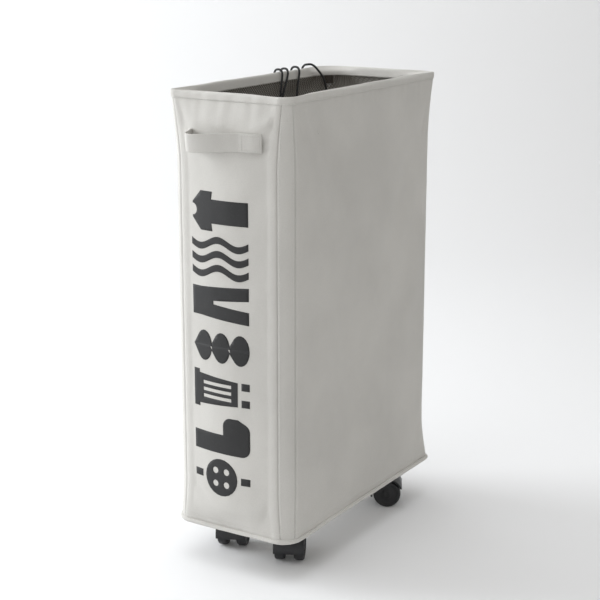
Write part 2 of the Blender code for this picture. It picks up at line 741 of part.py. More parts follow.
TAIL_B = [
    (-0.0772, 0.0503, 0.4687), (-0.0735, 0.0502, 0.4688), (-0.0690, 0.0501, 0.4700),
    (-0.0662, 0.0501, 0.4740), (-0.0655, 0.0501, 0.4810), (-0.0655, 0.0501, 0.4960),
    (-0.0656, 0.0501, 0.5100), (-0.0690, 0.0501, 0.5250), (-0.0725, 0.0500, 0.5420),
    (-0.0750, 0.0501, 0.5560), (-0.0755, 0.0510, 0.5680), (-0.0756, 0.0525, 0.5790),
    (-0.0753, 0.0540, 0.5890), (-0.0754, 0.0550, 0.5984), (-0.0785, 0.0555, 0.6031),
    (-0.0850, 0.0556, 0.6031), (-0.0882, 0.0557, 0.5984), (-0.0888, 0.0558, 0.5880),
    (-0.0889, 0.0560, 0.5700), (-0.0889, 0.0568, 0.5480), (-0.0889, 0.0600, 0.5270),
    (-0.0889, 0.0710, 0.5100), (-0.0889, 0.0905, 0.5040), (-0.0889, 0.1095, 0.5100),
    (-0.0889, 0.1195, 0.5270), (-0.0889, 0.1230, 0.5480), (-0.0889, 0.1242, 0.5700),
    (-0.0888, 0.1247, 0.5880), (-0.0882, 0.1250, 0.5984), (-0.0850, 0.1256, 0.6034),
    (-0.0800, 0.1262, 0.6048), (-0.0750, 0.1276, 0.6048), (-0.0712, 0.1302, 0.6020),
    (-0.0688, 0.1360, 0.5960), (-0.0672, 0.1450, 0.5870), (-0.0668, 0.1510, 0.5760),
    (-0.0665, 0.1535, 0.5640), (-0.0662, 0.1540, 0.5400), (-0.0656, 0.1535, 0.5150),
    (-0.0650, 0.1530, 0.4930),
]


def cord_lock():
    """A spring lock across both tails. Its plunger slides along Y, pushed in from the rear."""
    lie = Matrix.Translation((-0.0655, EXIT_Y, LOCK_Z)) @ Matrix.Rotation(-math.pi / 2, 4, "X")
    half = LOCK_LENGTH / 2
    bore = PLUNGER_RADIUS + GAP
    floor = -half + 0.0012
    body = baked(turned("cord_lock_body", [
        (0.0, floor), (bore, floor), (bore, half), (LOCK_RADIUS - 0.0006, half), (LOCK_RADIUS, half - 0.0006),
        (LOCK_RADIUS, -half + 0.0008), (LOCK_RADIUS - 0.0008, -half), (0.0, -half)], steps=20))
    slot = box("slot", (-0.0020, -0.01, -0.0038), (0.0020, 0.01, 0.0038))
    body = combine(body, [slot], "DIFFERENCE")
    body.matrix_basis = lie
    place(body, PLASTIC_BLACK)
    spring_top = -0.0046
    head = half + 0.0048
    plunger = baked(turned("cord_lock_plunger", [
        (0.0, head), (PLUNGER_RADIUS - 0.0007, head), (PLUNGER_RADIUS, head - 0.0007),
        (PLUNGER_RADIUS, spring_top), (0.0, spring_top)], steps=20))
    window = box("window", (-0.0020, -0.01, -0.0038), (0.0020, 0.01, 0.0038 + LOCK_TRAVEL))
    plunger = combine(plunger, [window], "DIFFERENCE")
    plunger.matrix_basis = lie
    place(plunger, PLASTIC_BLACK)
    turns, radius, thread = 3, 0.0026, 0.0003
    low, high = floor + GAP + thread, spring_top - GAP - thread
    helix = []
    for step in range(turns * 8 + 1):
        share = step / (turns * 8)
        angle = math.tau * turns * share
        helix.append((radius * math.cos(angle), radius * math.sin(angle),
                      low + (high - low) * share))
    spring = wire("cord_lock_spring", helix, thread, resolution=1)
    spring.matrix_basis = lie
    place(spring, STEEL)


# ---------------------------------------------------------------- assembly

def build():
    base_board()
    base_cloths()
    base_piping()
    for index, name in enumerate(("front_panel", "right_panel", "rear_panel", "left_panel")):
        wall_panel(name, index)
    for index, (corner, signs) in enumerate(CORNERS.items()):
        diagonal = -135.0 + 90.0 * index
        corner_sleeve("sleeve_" + corner, signs, diagonal)
        corner_pole("pole_" + corner, signs)
        rim_clip("rim_clip_" + corner, signs, diagonal)
    rim_wire()
    rim_binding()
    mesh_collar()
    collar_channel()
    eyelet()
    drawstring()
    strap_handle()
    cord_lock()
    cord_tails()
    casters()


build()
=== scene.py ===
"""Looks for the slim laundry hamper on casters: cloth, net, cords, print, casters and studio.

Lengths are in metres, in the frame's axes: +Z is up, the narrow front faces -Y and left is -X.
"""
import json
import math

import bmesh
import bpy
from mathutils import Matrix, Vector, noise


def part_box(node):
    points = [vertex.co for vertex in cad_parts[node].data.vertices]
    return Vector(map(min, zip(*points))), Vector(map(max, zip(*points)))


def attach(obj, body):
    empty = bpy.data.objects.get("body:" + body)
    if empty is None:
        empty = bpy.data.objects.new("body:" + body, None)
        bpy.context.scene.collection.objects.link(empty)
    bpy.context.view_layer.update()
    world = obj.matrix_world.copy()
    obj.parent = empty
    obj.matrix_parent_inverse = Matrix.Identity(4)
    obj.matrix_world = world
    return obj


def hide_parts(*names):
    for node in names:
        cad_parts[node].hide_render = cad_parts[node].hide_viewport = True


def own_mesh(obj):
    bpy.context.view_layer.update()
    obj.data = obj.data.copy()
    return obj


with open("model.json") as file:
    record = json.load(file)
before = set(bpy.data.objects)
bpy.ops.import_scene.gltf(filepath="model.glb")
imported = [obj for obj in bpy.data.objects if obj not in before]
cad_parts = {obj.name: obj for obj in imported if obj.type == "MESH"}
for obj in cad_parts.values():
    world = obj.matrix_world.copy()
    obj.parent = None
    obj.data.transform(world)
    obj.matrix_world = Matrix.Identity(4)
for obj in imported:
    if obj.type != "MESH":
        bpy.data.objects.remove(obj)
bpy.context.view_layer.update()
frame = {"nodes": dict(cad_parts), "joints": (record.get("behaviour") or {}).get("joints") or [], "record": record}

BAG = "bag"
DETAIL = 1.0


# ---- dimensions from the frame

def half_size(node):
    low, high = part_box(node)
    return ((high[0] - low[0]) / 2, (high[1] - low[1]) / 2)


PIPING_RADIUS = 0.003
BODY_HALF = tuple(side - PIPING_RADIUS for side in half_size("base_piping"))
RIM_HALF = half_size("rim_binding")
CENTRE_Y = (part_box("rim_binding")[0][1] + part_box("rim_binding")[1][1]) / 2
TOP_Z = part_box("rim_binding")[1][2]
HEM_LOW_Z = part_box("rim_binding")[0][2]
PIPING_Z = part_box("base_piping")[0][2] + PIPING_RADIUS
WALL_LOW_Z = PIPING_Z + 0.0015
HEM_TURN_DOWN = 0.0100
NET_TOP_Z = TOP_Z - 0.0105
WALL_TOP_Z = TOP_Z - 0.0050
POINTING_START_Z = TOP_Z - 0.085
POINTING_STOP_Z = PIPING_Z + 0.065
BODY_CORNERS = (0.030, 0.030, 0.030, 0.030)
RIM_CORNERS = (0.009, 0.015, 0.007, 0.026)
BASE_CORNERS = (0.024, 0.024, 0.008, 0.014)
BODY_CORNER = BODY_CORNERS[0]
HEM_INSET = 0.0075
HEM_INNER_CORNER = 0.036
SEAM_SHARE = 24.0 / 90.0         # how far round each corner its sleeve's seam lies
CLOTH = 0.001
CLIP_DEPTH = 0.0022
FRONT_BULGE = 0.0080
SHARP_ANGLE = math.radians(35.0)
SIDES = {"front": 0, "right": 1, "rear": 2, "left": 3}
CORNERS = {"front_left": (-1, -1), "front_right": (1, -1), "rear_right": (1, 1), "rear_left": (-1, 1)}


# ---- camera

CAMERA_AZIMUTH = math.radians(31.985)
CAMERA_ELEVATION = math.radians(14.411)


def camera():
    focal_px, image_px = 1455.15, 600
    azimuth, elevation = CAMERA_AZIMUTH, CAMERA_ELEVATION
    distance = 1.8996
    target = Vector((-0.0099, CENTRE_Y - 0.0058, 0.3135))
    back = Vector((math.sin(azimuth) * math.cos(elevation),
                   -math.cos(azimuth) * math.cos(elevation), math.sin(elevation)))
    data = bpy.data.cameras.new("camera")
    data.sensor_width = 36.0
    data.lens = 36.0 * focal_px / image_px
    data.clip_end = 50.0
    made = bpy.data.objects.new("camera", data)
    bpy.context.scene.collection.objects.link(made)
    made.location = target + back * distance
    made.rotation_euler = (-back).to_track_quat("-Z", "Y").to_euler()
    bpy.context.scene.camera = made


camera()


# ---- material helpers

class Surface:
    """A Principled material with short calls for its node graph."""

    def __init__(self, name, colour, roughness, metallic=0.0, sheen=0.0):
        self.material = bpy.data.materials.new(name)
        self.material.use_nodes = True
        self.tree = self.material.node_tree
        self.shader = self.tree.nodes["Principled BSDF"]
        self.shader.inputs["Base Color"].default_value = (*colour, 1.0)
        self.shader.inputs["Roughness"].default_value = roughness
        self.shader.inputs["Metallic"].default_value = metallic
        self.shader.inputs["Sheen Weight"].default_value = sheen
        self.colour = colour
        self.coordinates = self.node("ShaderNodeTexCoord").outputs["Object"]

    def node(self, kind, inputs=None, **settings):
        made = self.tree.nodes.new(kind)
        for key, value in settings.items():
            setattr(made, key, value)
        for key, value in (inputs or {}).items():
            if isinstance(value, bpy.types.NodeSocket):
                self.tree.links.new(value, made.inputs[key])
            else:
                made.inputs[key].default_value = value
        return made

    def math(self, operation, a, b=0.0):
        return self.node("ShaderNodeMath", {0: a, 1: b}, operation=operation).outputs[0]

    def noise(self, scale, detail=3.0, vector=None, roughness=0.5):
        vector = vector or self.coordinates
        return self.node("ShaderNodeTexNoise", {
            "Vector": vector, "Scale": scale, "Detail": detail, "Roughness": roughness,
        }).outputs["Fac"]

    def ramp(self, fac, low, high, position=(0.3, 0.7)):
        made = self.node("ShaderNodeValToRGB", {"Fac": fac})
        for stop, colour, at in zip(made.color_ramp.elements, (low, high), position):
            stop.color = (*colour, 1.0)
            stop.position = at
        return made.outputs["Color"]

    def shade(self, amount):
        return tuple(min(1.0, channel * amount) for channel in self.colour)

    def mix(self, fac, a, b, blend="MIX"):
        return self.node("ShaderNodeMixRGB", {"Fac": fac, "Color1": a, "Color2": b},
                         blend_type=blend).outputs["Color"]

    def bump(self, height, distance, strength=1.0, normal=None):
        inputs = {"Height": height, "Distance": distance, "Strength": strength}
        if normal is not None:
            inputs["Normal"] = normal
        return self.node("ShaderNodeBump", inputs).outputs["Normal"]

    def link(self, output, socket):
        self.tree.links.new(output, self.shader.inputs[socket])


def woven(name, colour, thread=0.0007, variation=0.05, roughness=0.85, depth=0.00012):
    """Plain-weave cloth. Threads run up the cloth and around it, whichever way it faces."""
    cloth = Surface(name, colour, roughness, sheen=0.15)
    parted = cloth.node("ShaderNodeSeparateXYZ", {0: cloth.coordinates})
    around = cloth.math("ADD", parted.outputs["X"], parted.outputs["Y"])
    wobble = cloth.math("MULTIPLY", cloth.noise(90.0, 2.0), thread * 0.9)
    turns = math.tau / (2 * thread)
    warp = cloth.math("SINE", cloth.math("MULTIPLY", cloth.math("ADD", around, wobble), turns))
    weft = cloth.math("SINE", cloth.math(
        "MULTIPLY", cloth.math("ADD", parted.outputs["Z"], wobble), turns))
    weave = cloth.math("MULTIPLY", warp, weft)
    slub = cloth.noise(900.0, 2.0)
    cloud = cloth.noise(9.0, 4.0)
    tone = cloth.ramp(cloud, cloth.shade(1 - variation), cloth.shade(1 + variation), (0.35, 0.65))
    flecks = cloth.ramp(slub, (0.965,) * 3, (1.02,) * 3, (0.35, 0.65))
    colour_out = cloth.mix(1.0, tone, flecks, "MULTIPLY")
    # Painted shade in the weave's low spots and a painted lift on the thread tops, following the same weave that
    # drives the bump
    weave_shade = cloth.ramp(weave, (0.96, 0.96, 0.955), (1.02, 1.02, 1.02), (0.0, 1.0))
    cloth.link(cloth.mix(1.0, colour_out, weave_shade, "MULTIPLY"), "Base Color")
    coarse = cloth.bump(cloth.noise(60.0, 4.0), 0.0012, 0.25)
    fine = cloth.bump(cloth.math("ADD", weave, cloth.math("MULTIPLY", slub, 1.5)), depth, 0.8, coarse)
    cloth.link(fine, "Normal")
    cloth.link(cloth.ramp(slub, (0.80,) * 3, (0.92,) * 3), "Roughness")
    return cloth.material


def moulded(name, colour, roughness, scratches=0.5):
    plastic = Surface(name, colour, roughness)
    grain = plastic.noise(900.0, 3.0)
    patch = plastic.noise(35.0, 4.0)
    plastic.link(plastic.ramp(patch, (roughness - 0.07,) * 3, (roughness + 0.10,) * 3), "Roughness")
    plastic.link(plastic.ramp(patch, plastic.shade(0.85), plastic.shade(1.25)), "Base Color")
    plastic.link(plastic.bump(grain, 0.00008, scratches), "Normal")
    return plastic.material


def brushed(name, colour, roughness):
    metal = Surface(name, colour, roughness, metallic=1.0)
    stretched = metal.node("ShaderNodeMapping", {"Vector": metal.coordinates, "Scale": (400.0, 400.0, 12.0)})
    lines = metal.noise(1.0, 4.0, stretched.outputs[0])
    metal.link(metal.ramp(lines, (roughness - 0.08,) * 3, (roughness + 0.12,) * 3), "Roughness")
    metal.link(metal.ramp(lines, metal.shade(0.88), metal.shade(1.08)), "Base Color")
    metal.link(metal.bump(lines, 0.00005, 0.4), "Normal")
    return metal.material


def braided(name, colour):
    """Round braided cord: strands from a Voronoi pattern over the cord's object coordinates."""
    cord = Surface(name, colour, 0.75, sheen=0.3)
    strands = cord.node("ShaderNodeTexVoronoi", {
        "Vector": cord.coordinates, "Scale": 1300.0, "Randomness": 0.55}, feature="F1")
    height = strands.outputs["Distance"]
    # Base colour: painted highlight on the strand tops and painted shade in the gaps between strands, from the
    # same pattern as the bump
    cord.link(cord.ramp(height, cord.shade(2.2), cord.shade(0.5), (0.1, 0.8)), "Base Color")
    cord.link(cord.bump(height, -0.0003, 0.8), "Normal")
    return cord.material


def printed(name, colour):
    ink = Surface(name, colour, 0.70)
    worn = ink.noise(420.0, 4.0)
    patch = ink.noise(25.0, 3.0)
    base = ink.ramp(patch, ink.shade(0.85), ink.shade(1.15))
    ink.link(ink.mix(ink.ramp(worn, (0.0,) * 3, (0.35,) * 3, (0.55, 0.80)), base,
                     (*ink.shade(2.4), 1.0)), "Base Color")
    ink.link(ink.bump(worn, 0.0002, 0.5), "Normal")
    return ink.material


CLOTH_GREY = woven("outer_cloth", (0.60, 0.585, 0.555))
CLOTH_TRIM = woven("trim_cloth", (0.62, 0.605, 0.575), thread=0.0006)
CLOTH_INSIDE = woven("channel_cloth", (0.34, 0.315, 0.285), thread=0.0006)
WEBBING = woven("strap_webbing", (0.60, 0.585, 0.555), thread=0.0009, depth=0.0002)
THREAD = woven("stitch_thread", (0.66, 0.65, 0.62), thread=0.0002, depth=0.00005)
NET = woven("net", (0.11, 0.088, 0.066), thread=0.0004, depth=0.00006)
CORD = braided("cord", (0.010, 0.010, 0.011))
BLACK = moulded("black_plastic", (0.012, 0.012, 0.014), 0.42)
TYRE = moulded("wheel_plastic", (0.016, 0.016, 0.018), 0.50, 0.8)
BOARD = moulded("board_plastic", (0.13, 0.13, 0.13), 0.60)
ALUMINIUM = brushed("pole_aluminium", (0.72, 0.72, 0.74), 0.35)
STEEL = brushed("steel", (0.55, 0.55, 0.56), 0.30)
INK = printed("print_ink", (0.017, 0.017, 0.0175))

CAD_FINISHES = {
    "outer_cloth": CLOTH_GREY, "trim_cloth": CLOTH_TRIM, "net": NET, "cord": CORD,
    "black_plastic": BLACK, "board_plastic": BOARD, "pole_aluminium": ALUMINIUM, "steel": STEEL,
}


slots = {part["node"]: part["material_slot"] for part in frame["record"]["subparts"]}
for node_name, node in frame["nodes"].items():
    node.data.materials.clear()
    node.data.materials.append(CAD_FINISHES[slots[node_name]])


# ---- mesh helpers

def add(name, mesh, finish, body=BAG, replaced=()):
    obj = bpy.data.objects.new(name, mesh)
    bpy.context.scene.collection.objects.link(obj)
    mesh.materials.clear()
    mesh.materials.append(finish)
    if mesh.__class__ is bpy.types.Mesh:
        mesh.shade_smooth()
    if body:
        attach(obj, body)
    if replaced:
        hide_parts(*replaced)
    return obj


def grid_mesh(name, rows, close_around=False, close_along=False):
    """A mesh from rows of points. Either direction may be closed into a ring."""
    mesh = bpy.data.meshes.new(name)
    count = len(rows[0])
    points = [tuple(point) for row in rows for point in row]
    faces = []
    for i in range(len(rows) if close_along else len(rows) - 1):
        below, above = i * count, ((i + 1) % len(rows)) * count
        for j in range(count if close_around else count - 1):
            k = (j + 1) % count
            faces.append((below + j, below + k, above + k, above + j))
    mesh.from_pydata(points, [], faces)
    return mesh


def cap_ends(mesh):
    """Closes a tube's open ends."""
    builder = bmesh.new()
    builder.from_mesh(mesh)
    bmesh.ops.holes_fill(builder, edges=[edge for edge in builder.edges if edge.is_boundary], sides=0)
    bmesh.ops.recalc_face_normals(builder, faces=builder.faces)
    builder.to_mesh(mesh)
    builder.free()


def cad_copy(node):
    """A copy of one of the model's meshes, in place."""
    mesh = frame["nodes"][node].data.copy()
    mesh.transform(frame["nodes"][node].matrix_world)
    return mesh


def soften(obj):
    smooth = obj.modifiers.new("smooth", "SUBSURF")
    smooth.levels = smooth.render_levels = 1


def thicken(obj, thickness, offset=-1.0):
    shell = obj.modifiers.new("thickness", "SOLIDIFY")
    shell.thickness = thickness
    shell.offset = offset
    return obj


def outline(u, half, radii):
    """Point and outward normal at u around a rectangle whose corners are rounded by the radii.

    From 2k to 2k + 1 it rounds corner k, and from 2k + 1 to 2k + 2 it runs along side k."""
    u = u % 8.0
    k = int(u) // 2
    radii = radii if isinstance(radii, (tuple, list)) else (radii,) * 4

    def on_corner(which, angle):
        signs = list(CORNERS.values())[which]
        normal = Vector((math.cos(angle), math.sin(angle), 0.0))
        centre = Vector([sign * (side - radii[which]) for sign, side in zip(signs, half)] + [0.0])
        return centre + normal * radii[which], normal
    start = math.radians(180.0 + 90.0 * k)
    if int(u) % 2 == 0:
        return on_corner(k, start + (u - 2 * k) * math.pi / 2)
    first, normal = on_corner(k, start + math.pi / 2)
    last, _ = on_corner((k + 1) % 4, start + math.pi / 2)
    return first.lerp(last, u - 2 * k - 1), normal


def placed(u, half, radii, z):
    """The outline's point at a height, about the hamper's own centre, and its outward normal."""
    base, normal = outline(u, half, radii)
    return base + Vector((0.0, CENTRE_Y, z)), normal


def stations(start, stop, half, radius, step):
    """Values of u from start to stop that are about a step apart along the outline."""
    marks = [start] + [whole for whole in range(math.ceil(start + 1e-6), math.ceil(stop))] + [stop]
    values = []
    for low, high in zip(marks, marks[1:]):
        first, last = (outline(low + 1e-5, half, radius)[0], outline(high - 1e-5, half, radius)[0])
        length = (last - first).length * (1.11 if int(low + 1e-6) % 2 == 0 else 1.0)
        pieces = max(1, round(length / step))
        values += [low + (high - low) * i / pieces for i in range(pieces)]
    return values + [stop]


# ---- the cloth's surface

def ripple(point, scale, layer):
    """Smooth noise over the plan, between about -1 and 1. Each layer has its own pattern."""
    return noise.noise(Vector((point.x * scale, point.y * scale, layer)))


def smoothstep(t):
    t = min(max(t, 0.0), 1.0)
    return t * t * (3 - 2 * t)


def wall_shape(z):
    """The outline at a height. Its corners are round, and pointed towards the rim and the base."""
    share = min(max((z - POINTING_START_Z) / (TOP_Z - POINTING_START_Z), 0.0), 1.0) ** 1.4
    half = [body + (rim - 0.0007 - body) * share for body, rim in zip(BODY_HALF, RIM_HALF)]
    low = min(max((POINTING_STOP_Z - z) / (POINTING_STOP_Z - PIPING_Z), 0.0), 1.0) ** 1.6
    return half, [body + (rim - body) * share + (base - body) * low
                  for body, rim, base in zip(BODY_CORNERS, RIM_CORNERS, BASE_CORNERS)]


# Creases pulled into the walls: side, start and end as (distance along the wall, height), width, depth
CREASES = [
    ("right", (0.182, 0.580), (0.128, 0.492), 0.0075, -0.0026),
    ("right", (0.186, 0.560), (0.150, 0.455), 0.0100, 0.0014),
    ("right", (0.150, 0.578), (0.085, 0.535), 0.0090, -0.0010),
    ("right", (-0.150, 0.572), (-0.085, 0.430), 0.0110, 0.0026),
    ("right", (-0.120, 0.566), (-0.010, 0.380), 0.0150, -0.0028),
    ("right", (0.165, 0.420), (0.070, 0.180), 0.0240, 0.0036),
    ("right", (-0.060, 0.330), (-0.010, 0.110), 0.0200, -0.0032),
    ("right", (0.120, 0.500), (0.030, 0.330), 0.0170, -0.0026),
    ("right", (0.180, 0.150), (0.128, 0.066), 0.0090, -0.0024),
    ("right", (0.176, 0.118), (0.145, 0.064), 0.0065, 0.0016),
    ("right", (-0.160, 0.560), (-0.128, 0.528), 0.0055, -0.0013),
    ("right", (-0.150, 0.578), (-0.060, 0.520), 0.0130, -0.0012),
    ("right", (-0.176, 0.110), (-0.120, 0.066), 0.0100, -0.0014),
    ("front", (-0.076, 0.582), (-0.050, 0.548), 0.0060, -0.0016),
    ("front", (0.080, 0.578), (0.018, 0.548), 0.0085, 0.0024),
    ("front", (0.078, 0.562), (0.022, 0.520), 0.0085, -0.0020),
    ("front", (-0.070, 0.560), (-0.045, 0.520), 0.0070, 0.0012),
    ("front", (0.050, 0.545), (0.066, 0.500), 0.0060, -0.0008),
    ("front", (-0.060, 0.120), (-0.010, 0.070), 0.0070, -0.0008),
    ("front", (0.068, 0.118), (0.040, 0.066), 0.0060, -0.0012),
    ("left", (-0.182, 0.580), (-0.128, 0.492), 0.0080, -0.0022),
    ("left", (0.182, 0.580), (0.140, 0.500), 0.0080, -0.0018),
    ("left", (0.176, 0.120), (0.130, 0.066), 0.0090, -0.0018),
    ("rear", (0.076, 0.582), (0.030, 0.530), 0.0070, -0.0015),
    ("rear", (-0.076, 0.582), (-0.035, 0.540), 0.0070, -0.0013),
]


def crease_depth(side, along, z):
    total = 0.0
    here = Vector((along, z))
    for wall, start, stop, width, depth in CREASES:
        if wall != side:
            continue
        a, b = Vector(start), Vector(stop)
        run = b - a
        share = (here - a).dot(run) / run.length_squared
        if -0.2 < share < 1.2:
            away = (here - (a + run * share)).length
            taper = smoothstep((share + 0.2) / 0.3) * smoothstep((1.2 - share) / 0.9)
            total += depth * taper * math.exp(-(away / width) ** 2)
    return total


SOFT_WAVE, FINE_WAVE = 0.0026, 0.00045
WALL_SAG = 0.0016
RIM_PULL, RIM_PULL_REACH = 0.0009, 0.016
PLEAT, CORNER_PLEAT, PLEAT_REACH = 0.0004, 0.0012, 0.011
SEAM_DEPTH, SEAM_WIDTH = 0.00028, 0.0012
SLEEVE_SWELL = 0.0005


def folds(u, z, base):
    """How far the cloth stands out from its plain outline here."""
    wrapped = u % 8.0
    k = int(wrapped) // 2
    side = list(SIDES)[k]
    in_corner = int(wrapped) % 2 == 0
    local = wrapped - 2 * k
    along = base.x if k in (0, 2) else base.y - CENTRE_Y
    long_wall = 1.0 if k in (1, 3) else 0.45
    middle = 0.0 if in_corner else math.sin(math.pi * (local - 1.0)) ** 0.6
    soft = noise.noise(Vector((base.x * 13, base.y * 13 + 7.0, z * 4.5 + k)))
    fine = noise.noise(Vector((base.x * 45 + 3.0, base.y * 45, z * 22 - k)))
    out = SOFT_WAVE * soft * middle * long_wall + FINE_WAVE * fine * (0.35 + 0.65 * middle)
    if k == 0 and not in_corner:
        free = smoothstep((z - WALL_LOW_Z) / 0.03) * smoothstep((TOP_Z - z) / 0.04)
        out += FRONT_BULGE * math.sin(math.pi * (local - 1.0)) * free
    elif k != 0:
        out -= WALL_SAG * middle * long_wall * math.sin(math.pi * smoothstep((z - WALL_LOW_Z) / 0.50)) ** 2
    if not in_corner:
        edge = min(local - 1.0, 2.0 - local)
        out += crease_depth(side, along, z) * smoothstep(edge / 0.02)
    above = z - WALL_LOW_Z
    below = HEM_LOW_Z - z
    pull = ripple(base, 95, 2.0 * k)
    out += RIM_PULL * pull * math.exp(-max(below, 0.0) / RIM_PULL_REACH)
    pleat = ripple(base, 150, 9.0 + k)
    corner_pull = 1.0 if in_corner else math.exp(-(along_edge(local, k)) / 0.03)
    out += (PLEAT + CORNER_PLEAT * corner_pull) * pleat * math.exp(-max(above, 0.0) / PLEAT_REACH)
    for seam in (SEAM_SHARE, 1.0 - SEAM_SHARE):
        if in_corner:
            distance = abs(local - seam) * BODY_CORNER * math.pi / 2
            out -= SEAM_DEPTH * math.exp(-(distance / SEAM_WIDTH) ** 2)
    if in_corner:
        out += (SLEEVE_SWELL * math.sin(math.pi * local)
                * (1.0 + 0.5 * noise.noise(Vector((k, 1.0, z * 30)))))
    return out


def along_edge(local, k):
    """Distance from the nearest corner along a side."""
    length = 2 * ((BODY_HALF[0] if k in (0, 2) else BODY_HALF[1]) - BODY_CORNER)
    return min(local - 1.0, 2.0 - local) * length


def cloth_point(u, z, proud=0.0):
    half, radius = wall_shape(z)
    base, normal = placed(u, half, radius, z)
    return base + normal * (folds(u, z, base) + proud)


def cloth_normal(u, z):
    step = 0.004
    around = cloth_point(u + step, z) - cloth_point(u - step, z)
    upward = cloth_point(u, z + 0.001) - cloth_point(u, z - 0.001)
    return around.cross(upward).normalized()


def heights(low, high, step):
    count = max(1, round((high - low) / step))
    return [low + (high - low) * i / count for i in range(count + 1)]


def wall(name, start, stop, step, replaced):
    columns = stations(start, stop, BODY_HALF, BODY_CORNERS, step)
    rows = [[cloth_point(u, z) for u in columns] for z in heights(WALL_LOW_Z, WALL_TOP_Z, step)]
    finish = CLOTH_TRIM if name.startswith("sleeve") else CLOTH_GREY
    return thicken(add(name, grid_mesh(name, rows), finish, replaced=replaced), CLOTH)


def walls():
    step = 0.0030 / DETAIL
    slack = 0.0012
    made = []
    for side, k in SIDES.items():
        start = 2 * k + 1 - SEAM_SHARE + slack
        panel = wall(side + "_wall", start, start + 1 + 2 * SEAM_SHARE - 2 * slack, step, [side + "_panel"])
        made.append(panel)
    for k, corner in enumerate(CORNERS):
        start = 2 * k + SEAM_SHARE + slack
        wall("sleeve_cloth_" + corner, start, start + 1 - 2 * SEAM_SHARE - 2 * slack, step * 0.66, [])
    return made


# ---- stitches

def stitch_line(name, path, length=0.0030, gap=0.0011, radius=0.00026):
    """A row of raised stitches along a path of (point, normal) pairs."""
    builder = bmesh.new()
    travelled, target = 0.0, 0.0
    spots = []
    for (start, normal), (stop, _) in zip(path, path[1:]):
        run = (stop - start).length
        while target <= travelled + run:
            spots.append((start.lerp(stop, (target - travelled) / run), normal, (stop - start) / run))
            target += length + gap
        travelled += run
    for centre, normal, along in spots:
        across = along.cross(normal).normalized()
        normal = across.cross(along).normalized()
        rings = []
        for share in (-0.5, -0.36, 0.0, 0.36, 0.5):
            lift = radius * (1.0 - 5.0 * share * share)
            girth = radius * (1.0 if abs(share) < 0.4 else 0.45)
            middle = centre + along * (length * share) + normal * lift
            rings.append([builder.verts.new(middle + across * (girth * 1.25 * math.cos(math.tau * i / 6))
                                            + normal * (girth * math.sin(math.tau * i / 6)))
                          for i in range(6)])
        for near, far in zip(rings, rings[1:]):
            for i in range(6):
                j = (i + 1) % 6
                builder.faces.new((near[i], near[j], far[j], far[i]))
        builder.faces.new(list(reversed(rings[0])))
        builder.faces.new(rings[-1])
    bmesh.ops.recalc_face_normals(builder, faces=builder.faces)
    mesh = bpy.data.meshes.new(name)
    builder.to_mesh(mesh)
    builder.free()
    add(name, mesh, THREAD)


def ring_path(z, proud=0.0):
    values = stations(0.0, 8.0, BODY_HALF, BODY_CORNERS, 0.004)
    return [(cloth_point(u, z, proud), cloth_normal(u, z)) for u in values]


SEAM_STITCH_Z = (0.072, 0.566)
SLEEVE_TOP_Z = 0.5705
STITCH_FROM_SEAM = 0.055


def seam_stitches():
    for k, corner in enumerate(CORNERS):
        first = SEAM_SHARE + STITCH_FROM_SEAM
        for side, share in (("a", first), ("b", 1.0 - first)):
            u = 2 * k + share
            path = [(cloth_point(u, z), cloth_normal(u, z)) for z in heights(*SEAM_STITCH_Z, 0.004)]
            stitch_line("seam_stitch_%s_%s" % (corner, side), path)
        values = [2 * k + SEAM_SHARE + (1 - 2 * SEAM_SHARE) * i / 10 for i in range(11)]
        path = [(cloth_point(u, SLEEVE_TOP_Z), cloth_normal(u, SLEEVE_TOP_Z)) for u in values]
        stitch_line("sleeve_top_stitch_" + corner, path, length=0.0022, gap=0.0004)
    stitch_line("base_stitch", ring_path(PIPING_Z + PIPING_RADIUS + 0.0072))


# ---- rim hem

def hem_section(corner_share):
    """The hem's cross-section as (share of the inset, height below the top), inner part only.

    Over the corners the cloth falls away across the clips. Along the sides it wraps the wire."""
    side = [(0.14, 0.0011), (0.28, 0.0003), (0.42, 0.0000), (0.58, 0.0004), (0.70, 0.0014),
            (0.79, 0.0034), (0.86, 0.0062), (0.95, 0.0095), (1.00, 0.0125)]
    over = [(0.03, 0.0008), (0.06, 0.0006), (0.10, 0.0008), (0.20, 0.0018), (0.45, 0.0032),
            (0.75, 0.0044), (0.97, 0.0062), (1.00, 0.0095), (1.00, 0.0125)]
    return [(a[0] + (b[0] - a[0]) * corner_share, a[1] + (b[1] - a[1]) * corner_share)
            for a, b in zip(side, over)]


def hem_point(u, share, z):
    half = [side - HEM_INSET * share for side in RIM_HALF]
    return placed(u, half, [corner + (HEM_INNER_CORNER - corner) * share for corner in RIM_CORNERS], z)


def hem_wave(point):
    broad = ripple(point, 55, 4.0)
    return 0.0005 * broad + 0.0003 * ripple(point, 150, 9.0)


